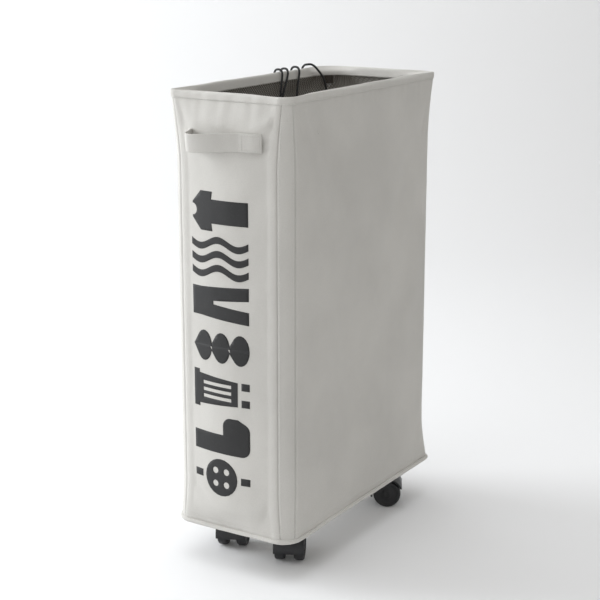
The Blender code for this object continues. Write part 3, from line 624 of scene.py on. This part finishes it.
def rim_hem():
    rows = []
    for u in stations(0.0, 8.0, RIM_HALF, HEM_INNER_CORNER, 0.0030 / DETAIL)[:-1]:
        k = int(u) // 2
        in_corner = int(u) % 2 == 0
        corner_share = 1.0 if in_corner else 1.0 - smoothstep(along_edge(u - 2 * k, k) / 0.026)
        row = [cloth_point(u, TOP_Z - below, proud) for below, proud in
               ((HEM_TURN_DOWN, 0.0003), (0.0070, 0.0006), (0.0040, 0.0007), (0.0022, 0.0004))]
        for share, below in hem_section(corner_share):
            base, normal = hem_point(u, share, TOP_Z - below)
            hang = smoothstep(below / 0.012)
            lift = 0.0005 * ripple(base, 22, 11.0) - 0.0002
            sway = -hem_wave(base) * (0.3 + 0.7 * hang) * share
            row.append(base + normal * sway + Vector((0.0, 0.0, lift * (1.0 - hang))))
        rows.append(row)
    hem = add("rim_hem", grid_mesh("rim_hem", rows, close_along=True), CLOTH_TRIM,
              replaced=["rim_binding"])
    thicken(hem, 0.0005, 0.0)
    soften(hem)
    outer, inner = [], []
    for u in stations(0.0, 8.0, RIM_HALF, RIM_CORNERS, 0.004):
        z = TOP_Z - HEM_TURN_DOWN + 0.0014
        outer.append((cloth_point(u, z, 0.0009), cloth_normal(u, z)))
        base, normal = hem_point(u, 1.0, TOP_Z - 0.0108)
        inner.append((base - normal * (hem_wave(base) + 0.0004), -normal))
    stitch_line("rim_stitch_outer", outer)
    stitch_line("rim_stitch_inner", inner)


# ---- rim clips

def rim_clips():
    """The model's moulded clips, eased inwards where the cloth's corner is rounder than theirs."""
    for k, corner in enumerate(CORNERS):
        mesh = cad_copy("rim_clip_" + corner)
        for vert in mesh.vertices:
            half, radii = wall_shape(vert.co.z)
            reach = radii[k] - CLIP_DEPTH
            centre = Vector([sign * (side - radii[k]) for sign, side in zip(CORNERS[corner], half)])
            centre.y += CENTRE_Y
            away = vert.co.xy - centre
            outside = all(part * sign > 0 for part, sign in zip(away, CORNERS[corner]))
            if outside and away.length > reach:
                vert.co.xy = centre + away * (reach / away.length)
        add("moulded_clip_" + corner, mesh, BLACK, replaced=["rim_clip_" + corner])
        mesh.set_sharp_from_angle(angle=SHARP_ANGLE)


# ---- net collar and channel

NET_CELL = 0.0046
NET_STRAND = 0.0008
COLLAR_HALF = half_size("mesh_collar")
COLLAR_CORNER = 0.058
COLLAR_LOW_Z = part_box("mesh_collar")[0][2]


def net_point(u, z):
    rise = smoothstep((z - (NET_TOP_Z - 0.020)) / 0.020)
    sink = smoothstep((COLLAR_LOW_Z + 0.02 - z) / 0.02)
    half = [side + (rim - HEM_INSET + 0.0004 - side) * rise - 0.0030 * sink
            for side, rim in zip(COLLAR_HALF, RIM_HALF)]
    base, normal = placed(u, half, COLLAR_CORNER + (HEM_INNER_CORNER - COLLAR_CORNER) * rise, z)
    billow = ripple(base, 24, z * 18)
    gather = ripple(base, 120, 3.0) * sink
    return base + normal * (-0.0016 * (0.5 + billow) * (1.0 - rise) - 0.0012 * gather)


def net_collar():
    """Four lengths of open net, each a lattice of diamond cells turned into thin crossing strands."""
    top, low = NET_TOP_Z, COLLAR_LOW_Z - 0.004
    levels = 2 * round((top - low) / NET_CELL)
    for side, k in SIDES.items():
        start, stop = 2 * k + 0.5, 2 * k + 2.5
        fine = stations(start, stop, COLLAR_HALF, COLLAR_CORNER, 0.001)
        lengths = [0.0]
        for a, b in zip(fine, fine[1:]):
            first = outline(a, COLLAR_HALF, COLLAR_CORNER)[0]
            lengths.append(lengths[-1] + (outline(b, COLLAR_HALF, COLLAR_CORNER)[0] - first).length)
        columns = 2 * round(lengths[-1] / NET_CELL)
        at = []
        index = 0
        for i in range(columns + 1):
            wanted = lengths[-1] * i / columns
            while index < len(fine) - 2 and lengths[index + 1] < wanted:
                index += 1
            share = (wanted - lengths[index]) / (lengths[index + 1] - lengths[index])
            at.append(fine[index] + (fine[index + 1] - fine[index]) * min(share, 1.0))
        builder = bmesh.new()
        knots = {}

        def knot(i, j):
            if (i, j) not in knots:
                knots[i, j] = builder.verts.new(net_point(at[i], low + (top - low) * j / levels))
            return knots[i, j]
        for i in range(1, columns):
            for j in range(1, levels):
                if (i + j) % 2 == 0:
                    builder.faces.new((knot(i - 1, j), knot(i, j - 1), knot(i + 1, j), knot(i, j + 1)))
        mesh = bpy.data.meshes.new("net_" + side)
        builder.to_mesh(mesh)
        builder.free()
        piece = add("net_" + side, mesh, NET, replaced=["mesh_collar"])
        strands = piece.modifiers.new("strands", "WIREFRAME")
        strands.thickness = NET_STRAND
        strands.use_boundary = True
        strands.use_even_offset = False
        strands.use_replace = True


def channel():
    """The soft gathered tube at the net's lower edge that holds the drawstring."""
    low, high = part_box("collar_channel")[0][2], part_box("collar_channel")[1][2]
    half = half_size("collar_channel")
    width = 0.0072
    section = [(0.0030, 0.0), (0.0008, 0.10), (0.0, 0.30), (0.0006, 0.60), (0.0020, 0.86), (0.0032, 1.0),
               (0.0044, 1.0), (0.0056, 0.86), (0.0068, 0.60), (width, 0.30), (width - 0.0008, 0.10),
               (width - 0.0030, 0.0)]
    rows = []
    for u in stations(0.0, 8.0, half, COLLAR_CORNER, 0.0028 / DETAIL)[:-1]:
        row = []
        for inset, rise in section:
            base, normal = placed(u, [side - inset for side in half], COLLAR_CORNER - inset,
                                  low + (high - low) * rise)
            ruffle = ripple(base, 130, rise)
            swing = ripple(base, 40, 5.0)
            row.append(base + normal * (-0.0007 * abs(ruffle) * (inset > 0.004) + 0.0003 * ruffle)
                       + Vector((0.0, 0.0, 0.0010 * swing)))
        rows.append(row)
    mesh = grid_mesh("drawstring_channel", rows, close_around=True, close_along=True)
    soften(add("drawstring_channel", mesh, CLOTH_INSIDE, replaced=["collar_channel"]))


# ---- strap handle

STRAP_LOW, STRAP_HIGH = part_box("front_strap")
STRAP_BOW_ENDS = (STRAP_LOW[0] + 0.005, STRAP_HIGH[0] - 0.028)
STRAP_MIDDLE_Z = (STRAP_LOW[2] + STRAP_HIGH[2]) / 2
BOW = 0.0186
FORWARD = Vector((0.0, -1.0, 0.0))
STRAP_THICKNESS = 0.0016
STRAP_FACE = 0.0020              # from the panel to just inside the strap's outer face


def strap_back(x):
    """The front of the panel behind the strap."""
    span = 2 * (BODY_HALF[0] - BODY_CORNER)
    u = 1.0 + (x + span / 2) / span
    return min(cloth_point(u, z).y for z in (STRAP_LOW[2], STRAP_MIDDLE_Z, STRAP_HIGH[2])) - 0.0004


def strap_lift(x):
    """How far the strap stands off the panel. It bows most near its left end."""
    start, stop = STRAP_BOW_ENDS
    share = min(max((x - start) / (stop - start), 0.0), 1.0)
    return BOW * math.sin(math.pi * share ** 0.36) ** 1.15


def strap():
    middle = STRAP_MIDDLE_Z
    tall = (STRAP_HIGH[2] - STRAP_LOW[2]) / 2
    around = [(-1.0, 0.2), (-0.985, 0.75), (-0.94, 1.0), (-0.80, 0.80), (-0.5, 0.86), (0.0, 0.90),
              (0.5, 0.86), (0.80, 0.80), (0.94, 1.0), (0.985, 0.75), (1.0, 0.2), (1.0, -0.2),
              (0.985, -0.75), (0.94, -1.0), (0.5, -0.9), (0.0, -0.9), (-0.5, -0.9), (-0.94, -1.0),
              (-0.985, -0.75), (-1.0, -0.2)]
    rows = []
    count = round(90 * DETAIL)
    span = STRAP_HIGH[0] - STRAP_LOW[0]
    for i in range(count + 1):
        x = STRAP_LOW[0] + span * i / count
        slope = (strap_lift(x + 0.0005) - strap_lift(x - 0.0005)) / 0.001
        outward = Vector((-slope, -1.0, 0.0)).normalized()
        bowed = strap_lift(x) / BOW
        sag = -0.0030 * bowed
        end = smoothstep(min(i, count - i) / 1.5)
        row = []
        for up, out in around:
            wrinkle = noise.noise(Vector((x * 70, up * 0.6, 2.0))) * 0.0003
            centre = Vector((x, strap_back(x) - 0.0012 - strap_lift(x) - 0.0010 * up * bowed, 0.0))
            row.append(centre + outward * (out * STRAP_THICKNESS / 2 * end + wrinkle)
                       + Vector((0.0, 0.0, middle + sag + up * tall)))
        rows.append(row)
    mesh = grid_mesh("strap_webbing", rows, close_around=True)
    cap_ends(mesh)
    add("strap_webbing", mesh, WEBBING, replaced=["front_strap"])
    for tag, x in (("right_end", STRAP_HIGH[0] - 0.0035), ("right_inner", STRAP_BOW_ENDS[1] + 0.0035),
                   ("left_end", STRAP_LOW[0] + 0.0022)):
        path = [(Vector((x, strap_back(x) - STRAP_FACE - strap_lift(x), z)), FORWARD)
                for z in heights(STRAP_LOW[2] + 0.0015, STRAP_HIGH[2] - 0.0015, 0.003)]
        stitch_line("strap_stitch_" + tag, path, length=0.0024, gap=0.0008)
    for tag, z in (("lower", STRAP_LOW[2] + 0.0020), ("upper", STRAP_HIGH[2] - 0.0020)):
        path = [(Vector((x, strap_back(x) - STRAP_FACE, z)), FORWARD)
                for x in heights(STRAP_BOW_ENDS[1] + 0.0035, STRAP_BOW_ENDS[1] + 0.0245, 0.003)]
        stitch_line("strap_stitch_" + tag, path, length=0.0024, gap=0.0008)


# ---- piping and base

def piping():
    rows = []
    for u in stations(0.0, 8.0, BODY_HALF, BODY_CORNERS, 0.0030 / DETAIL)[:-1]:
        base, normal = placed(u, BODY_HALF, BASE_CORNERS, PIPING_Z)
        lift = 0.0007 * ripple(base, 18, 21.0)
        swing = 0.0004 * ripple(base, 50, 25.0)
        row = []
        for i in range(14):
            angle = math.tau * i / 14
            pucker = 1.0 + 0.07 * ripple(base, 240, math.sin(angle))
            girth = PIPING_RADIUS * pucker
            row.append(base + normal * (swing + girth * math.cos(angle))
                       + Vector((0.0, 0.0, lift + girth * math.sin(angle))))
        rows.append(row)
    mesh = grid_mesh("piping_cord", rows, close_around=True, close_along=True)
    add("piping_cord", mesh, CLOTH_TRIM, replaced=["base_piping"])
    path = []
    for u in stations(0.0, 8.0, BODY_HALF, BODY_CORNERS, 0.004):
        base, normal = placed(u, BODY_HALF, BASE_CORNERS, PIPING_Z)
        up = (normal + Vector((0.0, 0.0, 1.2))).normalized()
        path.append((base + up * (PIPING_RADIUS + 0.0001), up))
    stitch_line("piping_stitch", path, length=0.0024, gap=0.0012)


# ---- print

PRINT_HALF_WIDTH = 0.0418
PRINT_X = (STRAP_LOW[0] + 0.001) + PRINT_HALF_WIDTH
PRINT_Z = (0.100, 0.488)
INK_THICKNESS = 0.00018


def arc(centre, radius, start, stop, steps=14, squeeze=1.0):
    points = []
    for i in range(steps + 1):
        angle = math.radians(start + (stop - start) * i / steps)
        points.append((centre[0] + radius * math.cos(angle),
                       centre[1] + squeeze * radius * math.sin(angle)))
    return points


def slab(x0, y0, x1, y1):
    return [(x0, y0), (x1, y0), (x1, y1), (x0, y1)]


def wave_band(low, thickness):
    lower = [(-1 + 2 * i / 24, low + 0.11 * math.sin(i / 24 * 3 * math.pi)) for i in range(25)]
    return lower + [(x, y + thickness) for x, y in reversed(lower)]


def pictograms():
    """Laundry signs as loops in a box 2 wide and 1.15 tall. A loop inside another is a hole."""
    shirt = ([(-0.95, -0.22), (-0.62, -0.56), (-0.18, -0.56), (-0.22, -0.34), (1.0, -0.34), (1.0, 0.34),
              (-0.22, 0.34), (-0.18, 0.56), (-0.62, 0.56), (-0.95, 0.22)]
             + arc((-0.95, 0.0), 0.17, 90, -90, 8))
    waves = [wave_band(low, 0.20) for low in (-0.50, -0.10, 0.30)]
    tub = [[(-1.0, -0.56), (-0.78, -0.56), (-0.78, -0.46), (0.62, -0.36), (0.62, 0.36), (-0.78, 0.46),
            (-0.78, 0.56), (-1.0, 0.56)]] + [slab(-0.62, y - 0.05, 0.40, y + 0.05) for y in (-0.2, 0.0, 0.2)]
    feet = [slab(0.74, -0.36, 1.0, -0.14), slab(0.74, 0.14, 1.0, 0.36)]
    drops = []
    for centre, radius in ((-0.62, 0.30), (0.02, 0.30), (0.66, 0.30)):
        drops.append(arc((centre + 0.05, 0.0), radius, -130, 130, 16, 1.5) + [(centre - 0.36, 0.0)])
    button = [arc((0.0, 0.0), 0.58, 0, 345, 23, 0.98)]
    button += [arc((x, y), 0.10, 0, 330, 11) for x in (-0.2, 0.2) for y in (-0.2, 0.2)]
    button += [slab(-1.0, -0.11, -0.70, 0.11), slab(0.70, -0.11, 1.0, 0.11)]
    trousers = [[(-1.0, -0.42), (-0.66, -0.42), (1.0, -0.54), (1.0, -0.16), (-0.20, -0.05), (-0.20, 0.05),
                 (1.0, 0.16), (1.0, 0.54), (-0.66, 0.42), (-1.0, 0.42)]]
    sock = [(-1.0, -0.02), (0.10, -0.02), (0.10, -0.30)] + arc((0.36, -0.30), 0.26, 180, 270, 6) + [
        (0.62, -0.56)] + arc((0.74, -0.20), 0.26, -60, 0, 5) + [(1.0, 0.30)] + arc(
            (0.74, 0.30), 0.26, 0, 90, 6) + [(-1.0, 0.56)]
    return [[shirt], waves, trousers, drops, tub + feet, [sock], button]


def printed_column():
    signs = pictograms()
    pitch = (PRINT_Z[1] - PRINT_Z[0]) / len(signs)
    curve = bpy.data.curves.new("print_loops", "CURVE")
    curve.dimensions = "2D"
    curve.fill_mode = "BOTH"
    scale = pitch * 0.88 / 1.15
    for row, loops in enumerate(signs):
        centre_z = PRINT_Z[1] - pitch * (row + 0.5)
        for loop in loops:
            spline = curve.splines.new("POLY")
            spline.points.add(len(loop) - 1)
            for point, (x, y) in zip(spline.points, loop):
                point.co = (PRINT_X + x * PRINT_HALF_WIDTH, centre_z - y * scale, 0.0, 1.0)
            spline.use_cyclic_u = True
    flat = bpy.data.objects.new("print_loops", curve)
    bpy.context.scene.collection.objects.link(flat)
    bpy.context.view_layer.update()
    graph = bpy.context.evaluated_depsgraph_get()
    mesh = bpy.data.meshes.new_from_object(flat.evaluated_get(graph))
    bpy.data.objects.remove(flat, do_unlink=True)
    builder = bmesh.new()
    builder.from_mesh(mesh)
    bmesh.ops.remove_doubles(builder, verts=builder.verts, dist=0.00002)
    step = 0.0040 / DETAIL
    cuts = [(Vector((x, 0, 0)), Vector((1, 0, 0))) for x in heights(
        PRINT_X - PRINT_HALF_WIDTH, PRINT_X + PRINT_HALF_WIDTH, step)]
    cuts += [(Vector((0, z, 0)), Vector((0, 1, 0))) for z in heights(PRINT_Z[0] + 0.0007, PRINT_Z[1], step)]
    for point, normal in cuts:
        geometry = list(builder.verts) + list(builder.edges) + list(builder.faces)
        bmesh.ops.bisect_plane(builder, geom=geometry, dist=0.00001, plane_co=point, plane_no=normal)
    bmesh.ops.triangulate(builder, faces=builder.faces)
    flat_span = 2 * (BODY_HALF[0] - BODY_CORNER)
    for vert in builder.verts:
        u = 1.0 + (vert.co.x + flat_span / 2) / flat_span
        vert.co = cloth_point(u, vert.co.y, 0.00022)
    for face in builder.faces:
        if face.normal.y > 0:
            face.normal_flip()
    builder.to_mesh(mesh)
    builder.free()
    thicken(add("print_column", mesh, INK), INK_THICKNESS)


# ---- cords

CORD_RADIUS = 0.0015
# The routes of the two tails, as the model's own cord solids follow them
TAIL_A = [
    (-0.0772, 0.0537, 0.4687), (-0.0735, 0.0538, 0.4688), (-0.0690, 0.0539, 0.4700),
    (-0.0662, 0.0539, 0.4740), (-0.0655, 0.0539, 0.4810), (-0.0655, 0.0539, 0.4960),
    (-0.0656, 0.0539, 0.5100), (-0.0690, 0.0539, 0.5250), (-0.0725, 0.0539, 0.5420),
    (-0.0750, 0.0545, 0.5560), (-0.0755, 0.0565, 0.5680), (-0.0756, 0.0610, 0.5790),
    (-0.0753, 0.0660, 0.5890), (-0.0754, 0.0688, 0.5984), (-0.0785, 0.0700, 0.6031),
    (-0.0850, 0.0703, 0.6031), (-0.0882, 0.0705, 0.5984), (-0.0888, 0.0710, 0.5880),
    (-0.0889, 0.0722, 0.5700), (-0.0889, 0.0735, 0.5520), (-0.0889, 0.0765, 0.5410),
    (-0.0889, 0.0838, 0.5360), (-0.0889, 0.0912, 0.5410), (-0.0889, 0.0945, 0.5520),
    (-0.0889, 0.0957, 0.5700), (-0.0888, 0.0963, 0.5880), (-0.0882, 0.0968, 0.5984),
    (-0.0850, 0.0971, 0.6031), (-0.0785, 0.0975, 0.6031), (-0.0754, 0.0972, 0.5984),
    (-0.0753, 0.0958, 0.5890), (-0.0756, 0.0935, 0.5790), (-0.0757, 0.0915, 0.5640),
    (-0.0757, 0.0902, 0.5400), (-0.0753, 0.0895, 0.5180), (-0.0748, 0.0893, 0.5000),
]

TAIL_B = [
    (-0.0772, 0.0503, 0.4687), (-0.0735, 0.0502, 0.4688), (-0.0690, 0.0501, 0.4700),
    (-0.0662, 0.0501, 0.4740), (-0.0655, 0.0501, 0.4810), (-0.0655, 0.0501, 0.4960),
    (-0.0656, 0.0501, 0.5100), (-0.0690, 0.0501, 0.5250), (-0.0725, 0.0500, 0.5420),
    (-0.0750, 0.0501, 0.5560), (-0.0755, 0.0510, 0.5680), (-0.0756, 0.0525, 0.5790),
    (-0.0753, 0.0540, 0.5890), (-0.0754, 0.0550, 0.5984), (-0.0785, 0.0555, 0.6031),
    (-0.0850, 0.0556, 0.6031), (-0.0882, 0.0557, 0.5984), (-0.0888, 0.0558, 0.5880),
    (-0.0889, 0.0560, 0.5700), (-0.0889, 0.0568, 0.5480), (-0.0889, 0.0600, 0.5270),
    (-0.0889, 0.0710, 0.5100), (-0.0889, 0.0905, 0.5040), (-0.0889, 0.1095, 0.5100),
    (-0.0889, 0.1195, 0.5270), (-0.0889, 0.1230, 0.5480), (-0.0889, 0.1242, 0.5700),
    (-0.0888, 0.1247, 0.5880), (-0.0882, 0.1250, 0.5984), (-0.0850, 0.1256, 0.6034),
    (-0.0800, 0.1262, 0.6048), (-0.0750, 0.1276, 0.6048), (-0.0712, 0.1302, 0.6020),
    (-0.0688, 0.1360, 0.5960), (-0.0672, 0.1450, 0.5870), (-0.0668, 0.1510, 0.5760),
    (-0.0665, 0.1535, 0.5640), (-0.0662, 0.1540, 0.5400), (-0.0656, 0.1535, 0.5150),
    (-0.0650, 0.1530, 0.4930),
]


def smooth_line(knots, steps=6):
    """A smooth curve through the knots."""
    knots = [Vector(knot) + Vector((0.0, CENTRE_Y, 0.0)) for knot in knots]
    ends = [2 * knots[0] - knots[1]] + knots + [2 * knots[-1] - knots[-2]]
    fine = []
    for before, start, stop, after in zip(ends, ends[1:], ends[2:], ends[3:]):
        for step in range(steps):
            t = step / steps
            fine.append(0.5 * (2 * start + (stop - before) * t
                               + (2 * before - 5 * start + 4 * stop - after) * t * t
                               + (3 * start - before - 3 * stop + after) * t ** 3))
    fine.append(knots[-1])
    return fine


def cords():
    for tag, route in (("a", TAIL_A), ("b", TAIL_B)):
        line = smooth_line(route)
        curve = bpy.data.curves.new("drawcord_" + tag, "CURVE")
        curve.dimensions = "3D"
        curve.bevel_depth = CORD_RADIUS
        curve.bevel_resolution = 4
        curve.use_fill_caps = True
        spline = curve.splines.new("POLY")
        spline.points.add(len(line) - 1)
        for point, source in zip(spline.points, line):
            point.co = (*source, 1.0)
        cord = add("drawcord_" + tag, curve, CORD, replaced=["cord_tail_" + tag])


cords()


# ---- cord lock's spring

def lock_spring():
    """A steel copy of the model's spring. The real spring shortens towards the bottom of its bore as the plunger
    is pressed; this copy keeps the model's shape.
    """
    low, high = (Vector(corner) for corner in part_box("cord_lock_spring"))
    anchor = (low + high) / 2
    anchor.y = low.y
    coil = add("coil_spring", cad_copy("cord_lock_spring"), STEEL, replaced=["cord_lock_spring"])
    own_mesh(coil)


# ---- casters

def joint(name):
    return next(entry for entry in frame["joints"] if entry["name"] == name)


def caster_matrix(corner):
    """The caster's own axes: +X along the axle, +Y the way that the wheels trail, Z up."""
    swivel = Vector(joint("swivel_" + corner)["pos_m"])
    spin = joint("spin_%s_right" % corner)
    across = Vector(spin["axis"]).normalized()
    up = Vector((0.0, 0.0, 1.0))
    trailing = up.cross(across)
    matrix = Matrix((across, trailing, up)).transposed().to_4x4()
    matrix.translation = Vector((swivel.x, swivel.y, 0.0))
    return matrix, (Vector(spin["pos_m"]) - matrix.translation)


def shortened_hood():
    """The model's hood in the caster's own axes, with its closed side ended just below the axle."""
    matrix, spin_at = caster_matrix("front_left")
    centre = matrix.to_3x3().inverted() @ spin_at
    hood = bpy.data.objects.new("hood_copy", cad_copy("caster_hood_front_left"))
    hood.data.transform(matrix.inverted())
    near, far, reach = 0.0100, 0.0400, 0.0300
    first, last = 190.0, 240.0
    ring = []
    for radius, angle in ((near, first), (far, first), (far, last), (near, last)):
        turn = math.radians(angle)
        ring.append(Vector((0.0, centre.y + radius * math.cos(turn), centre.z + radius * math.sin(turn))))
    rows = [[point + Vector((x, 0.0, 0.0)) for point in ring] for x in (-reach, reach)]
    cutter = bpy.data.objects.new("cutter", grid_mesh("cutter", rows, close_around=True))
    cap_ends(cutter.data)
    for obj in (hood, cutter):
        bpy.context.scene.collection.objects.link(obj)
    cut = hood.modifiers.new("cut", "BOOLEAN")
    cut.operation, cut.object, cut.solver = "DIFFERENCE", cutter, "EXACT"
    bpy.context.view_layer.update()
    graph = bpy.context.evaluated_depsgraph_get()
    mesh = bpy.data.meshes.new_from_object(hood.evaluated_get(graph))
    for obj in (hood, cutter):
        bpy.data.objects.remove(obj, do_unlink=True)
    return mesh


def turned_mesh(name, profile, matrix, steps):
    """A solid of revolution about Z from (radius, z) pairs, put in place by the matrix."""
    rows = []
    for radius, z in profile:
        rows.append([matrix @ Vector((radius * math.cos(math.tau * i / steps),
                                      radius * math.sin(math.tau * i / steps), z)) for i in range(steps)])
    mesh = grid_mesh(name, rows, close_around=True, close_along=True)
    builder = bmesh.new()
    builder.from_mesh(mesh)
    bmesh.ops.remove_doubles(builder, verts=builder.verts, dist=0.000005)
    bmesh.ops.dissolve_degenerate(builder, edges=builder.edges, dist=0.000001)
    bmesh.ops.recalc_face_normals(builder, faces=builder.faces)
    builder.to_mesh(mesh)
    builder.free()
    return mesh


def wheel_profile(inner, outer, radius):
    """The tread is crowned, with a groove, and the outer face is dished behind a raised ring."""
    return [
        (0.0023, outer - 0.0022), (0.0001, outer - 0.0022), (0.0001, outer - 0.0008),
        (0.0040, outer - 0.0004), (0.0058, outer - 0.0005), (0.0064, outer - 0.0014),
        (0.0084, outer - 0.0020), (0.0132, outer - 0.0020), (0.0142, outer - 0.0014),
        (0.0148, outer - 0.0003), (0.0160, outer), (0.0172, outer - 0.0002),
        (radius - 0.0008, outer - 0.0010), (radius - 0.0002, outer - 0.0022), (radius, outer - 0.0040),
        (radius, inner + 0.0040), (radius - 0.0002, inner + 0.0022), (radius - 0.0008, inner + 0.0010),
        (radius - 0.0020, inner), (0.0023, inner)]


def casters():
    wheel_radius = 0.019
    hood = shortened_hood()
    for corner in CORNERS:
        matrix, spin_at = caster_matrix(corner)
        centre = matrix.to_3x3().inverted() @ spin_at
        centre.x = 0.0
        mesh = hood.copy()
        mesh.transform(matrix)
        shell = add("hood_shell_" + corner, mesh, BLACK, "caster_" + corner,
                    ["caster_hood_" + corner])
        mesh.set_sharp_from_angle(angle=SHARP_ANGLE)
        rounding = shell.modifiers.new("rounding", "BEVEL")
        rounding.width, rounding.segments, rounding.angle_limit = 0.0005, 2, math.radians(40.0)
        for side, turn in (("left", -1.0), ("right", 1.0)):
            node = "wheel_%s_%s" % (corner, side)
            inner_face, outer_face = 0.0062, 0.0190
            place = (matrix @ Matrix.Translation(centre)
                     @ Matrix.Rotation(turn * math.pi / 2, 4, "Y"))
            mesh = turned_mesh("tread_" + node, wheel_profile(inner_face, outer_face, wheel_radius), place,
                               round(64 * DETAIL))
            add("tread_" + node, mesh, TYRE, node, [node])


# ---- floor, light and world

def studio():
    front, bend, radius, top, half_width = -3.0, 1.6, 1.2, 4.0, 5.0
    profile = [(front, 0.0), (bend, 0.0)]
    for degrees in range(6, 91, 6):
        angle = math.radians(degrees)
        profile.append((bend + radius * math.sin(angle), radius - radius * math.cos(angle)))
    profile.append((bend + radius, top))
    rows = [[Vector((x, y, z)) for x in (-half_width, half_width)] for y, z in profile]
    turn = Matrix.Rotation(CAMERA_AZIMUTH, 4, "Z")
    mesh = grid_mesh("backdrop", [[turn @ p for p in row] for row in rows])
    floor = add("backdrop", mesh, paper(), body=None)
    lights = [          # name, size, place, target, watts, spread in degrees
        ("key", 1.8, (-2.75, -0.86, 1.25), (0.0, 0.0, 0.35), 82.0, 180.0),
        ("backdrop_wash", 2.4, (-1.9, 0.9, 2.4), (-1.6, 2.6, 0.8), 13.0, 180.0),
        ("front_fill", 2.0, (-0.6, -2.9, 1.1), (0.0, 0.0, 0.3), 9.0, 180.0),
        ("overhead", 2.6, (0.0, -0.7, 3.0), (0.0, -0.3, 0.0), 6.5, 75.0),
    ]
    for name, size, where, target, power, spread in lights:
        data = bpy.data.lights.new(name, "AREA")
        data.shape = "DISK"
        data.size = size
        data.energy = power
        data.color = (0.94, 0.97, 1.0)
        data.spread = math.radians(spread)
        lamp = bpy.data.objects.new(name, data)
        bpy.context.scene.collection.objects.link(lamp)
        lamp.location = where
        lamp.rotation_euler = (Vector(target) - Vector(where)).to_track_quat("-Z", "Y").to_euler()
    world = bpy.data.worlds.new("studio")
    world.use_nodes = True
    world.node_tree.nodes["Background"].inputs["Color"].default_value = (1.0, 0.985, 0.955, 1.0)
    world.node_tree.nodes["Background"].inputs["Strength"].default_value = 0.53
    bpy.context.scene.world = world
    bpy.context.scene.view_settings.view_transform = "Standard"


def paper():
    sheet = Surface("backdrop_paper", (0.86, 0.86, 0.865), 0.8)
    sheet.link(sheet.bump(sheet.noise(40.0, 4.0), 0.0005, 0.1), "Normal")
    return sheet.material


# ---- assembly


def assemble():
    for side, panel in zip(SIDES, walls()):
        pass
    rim_hem()
    rim_clips()
    net_collar()
    channel()
    strap()
    seam_stitches()
    piping()
    printed_column()
    lock_spring()
    casters()
    studio()


assemble()
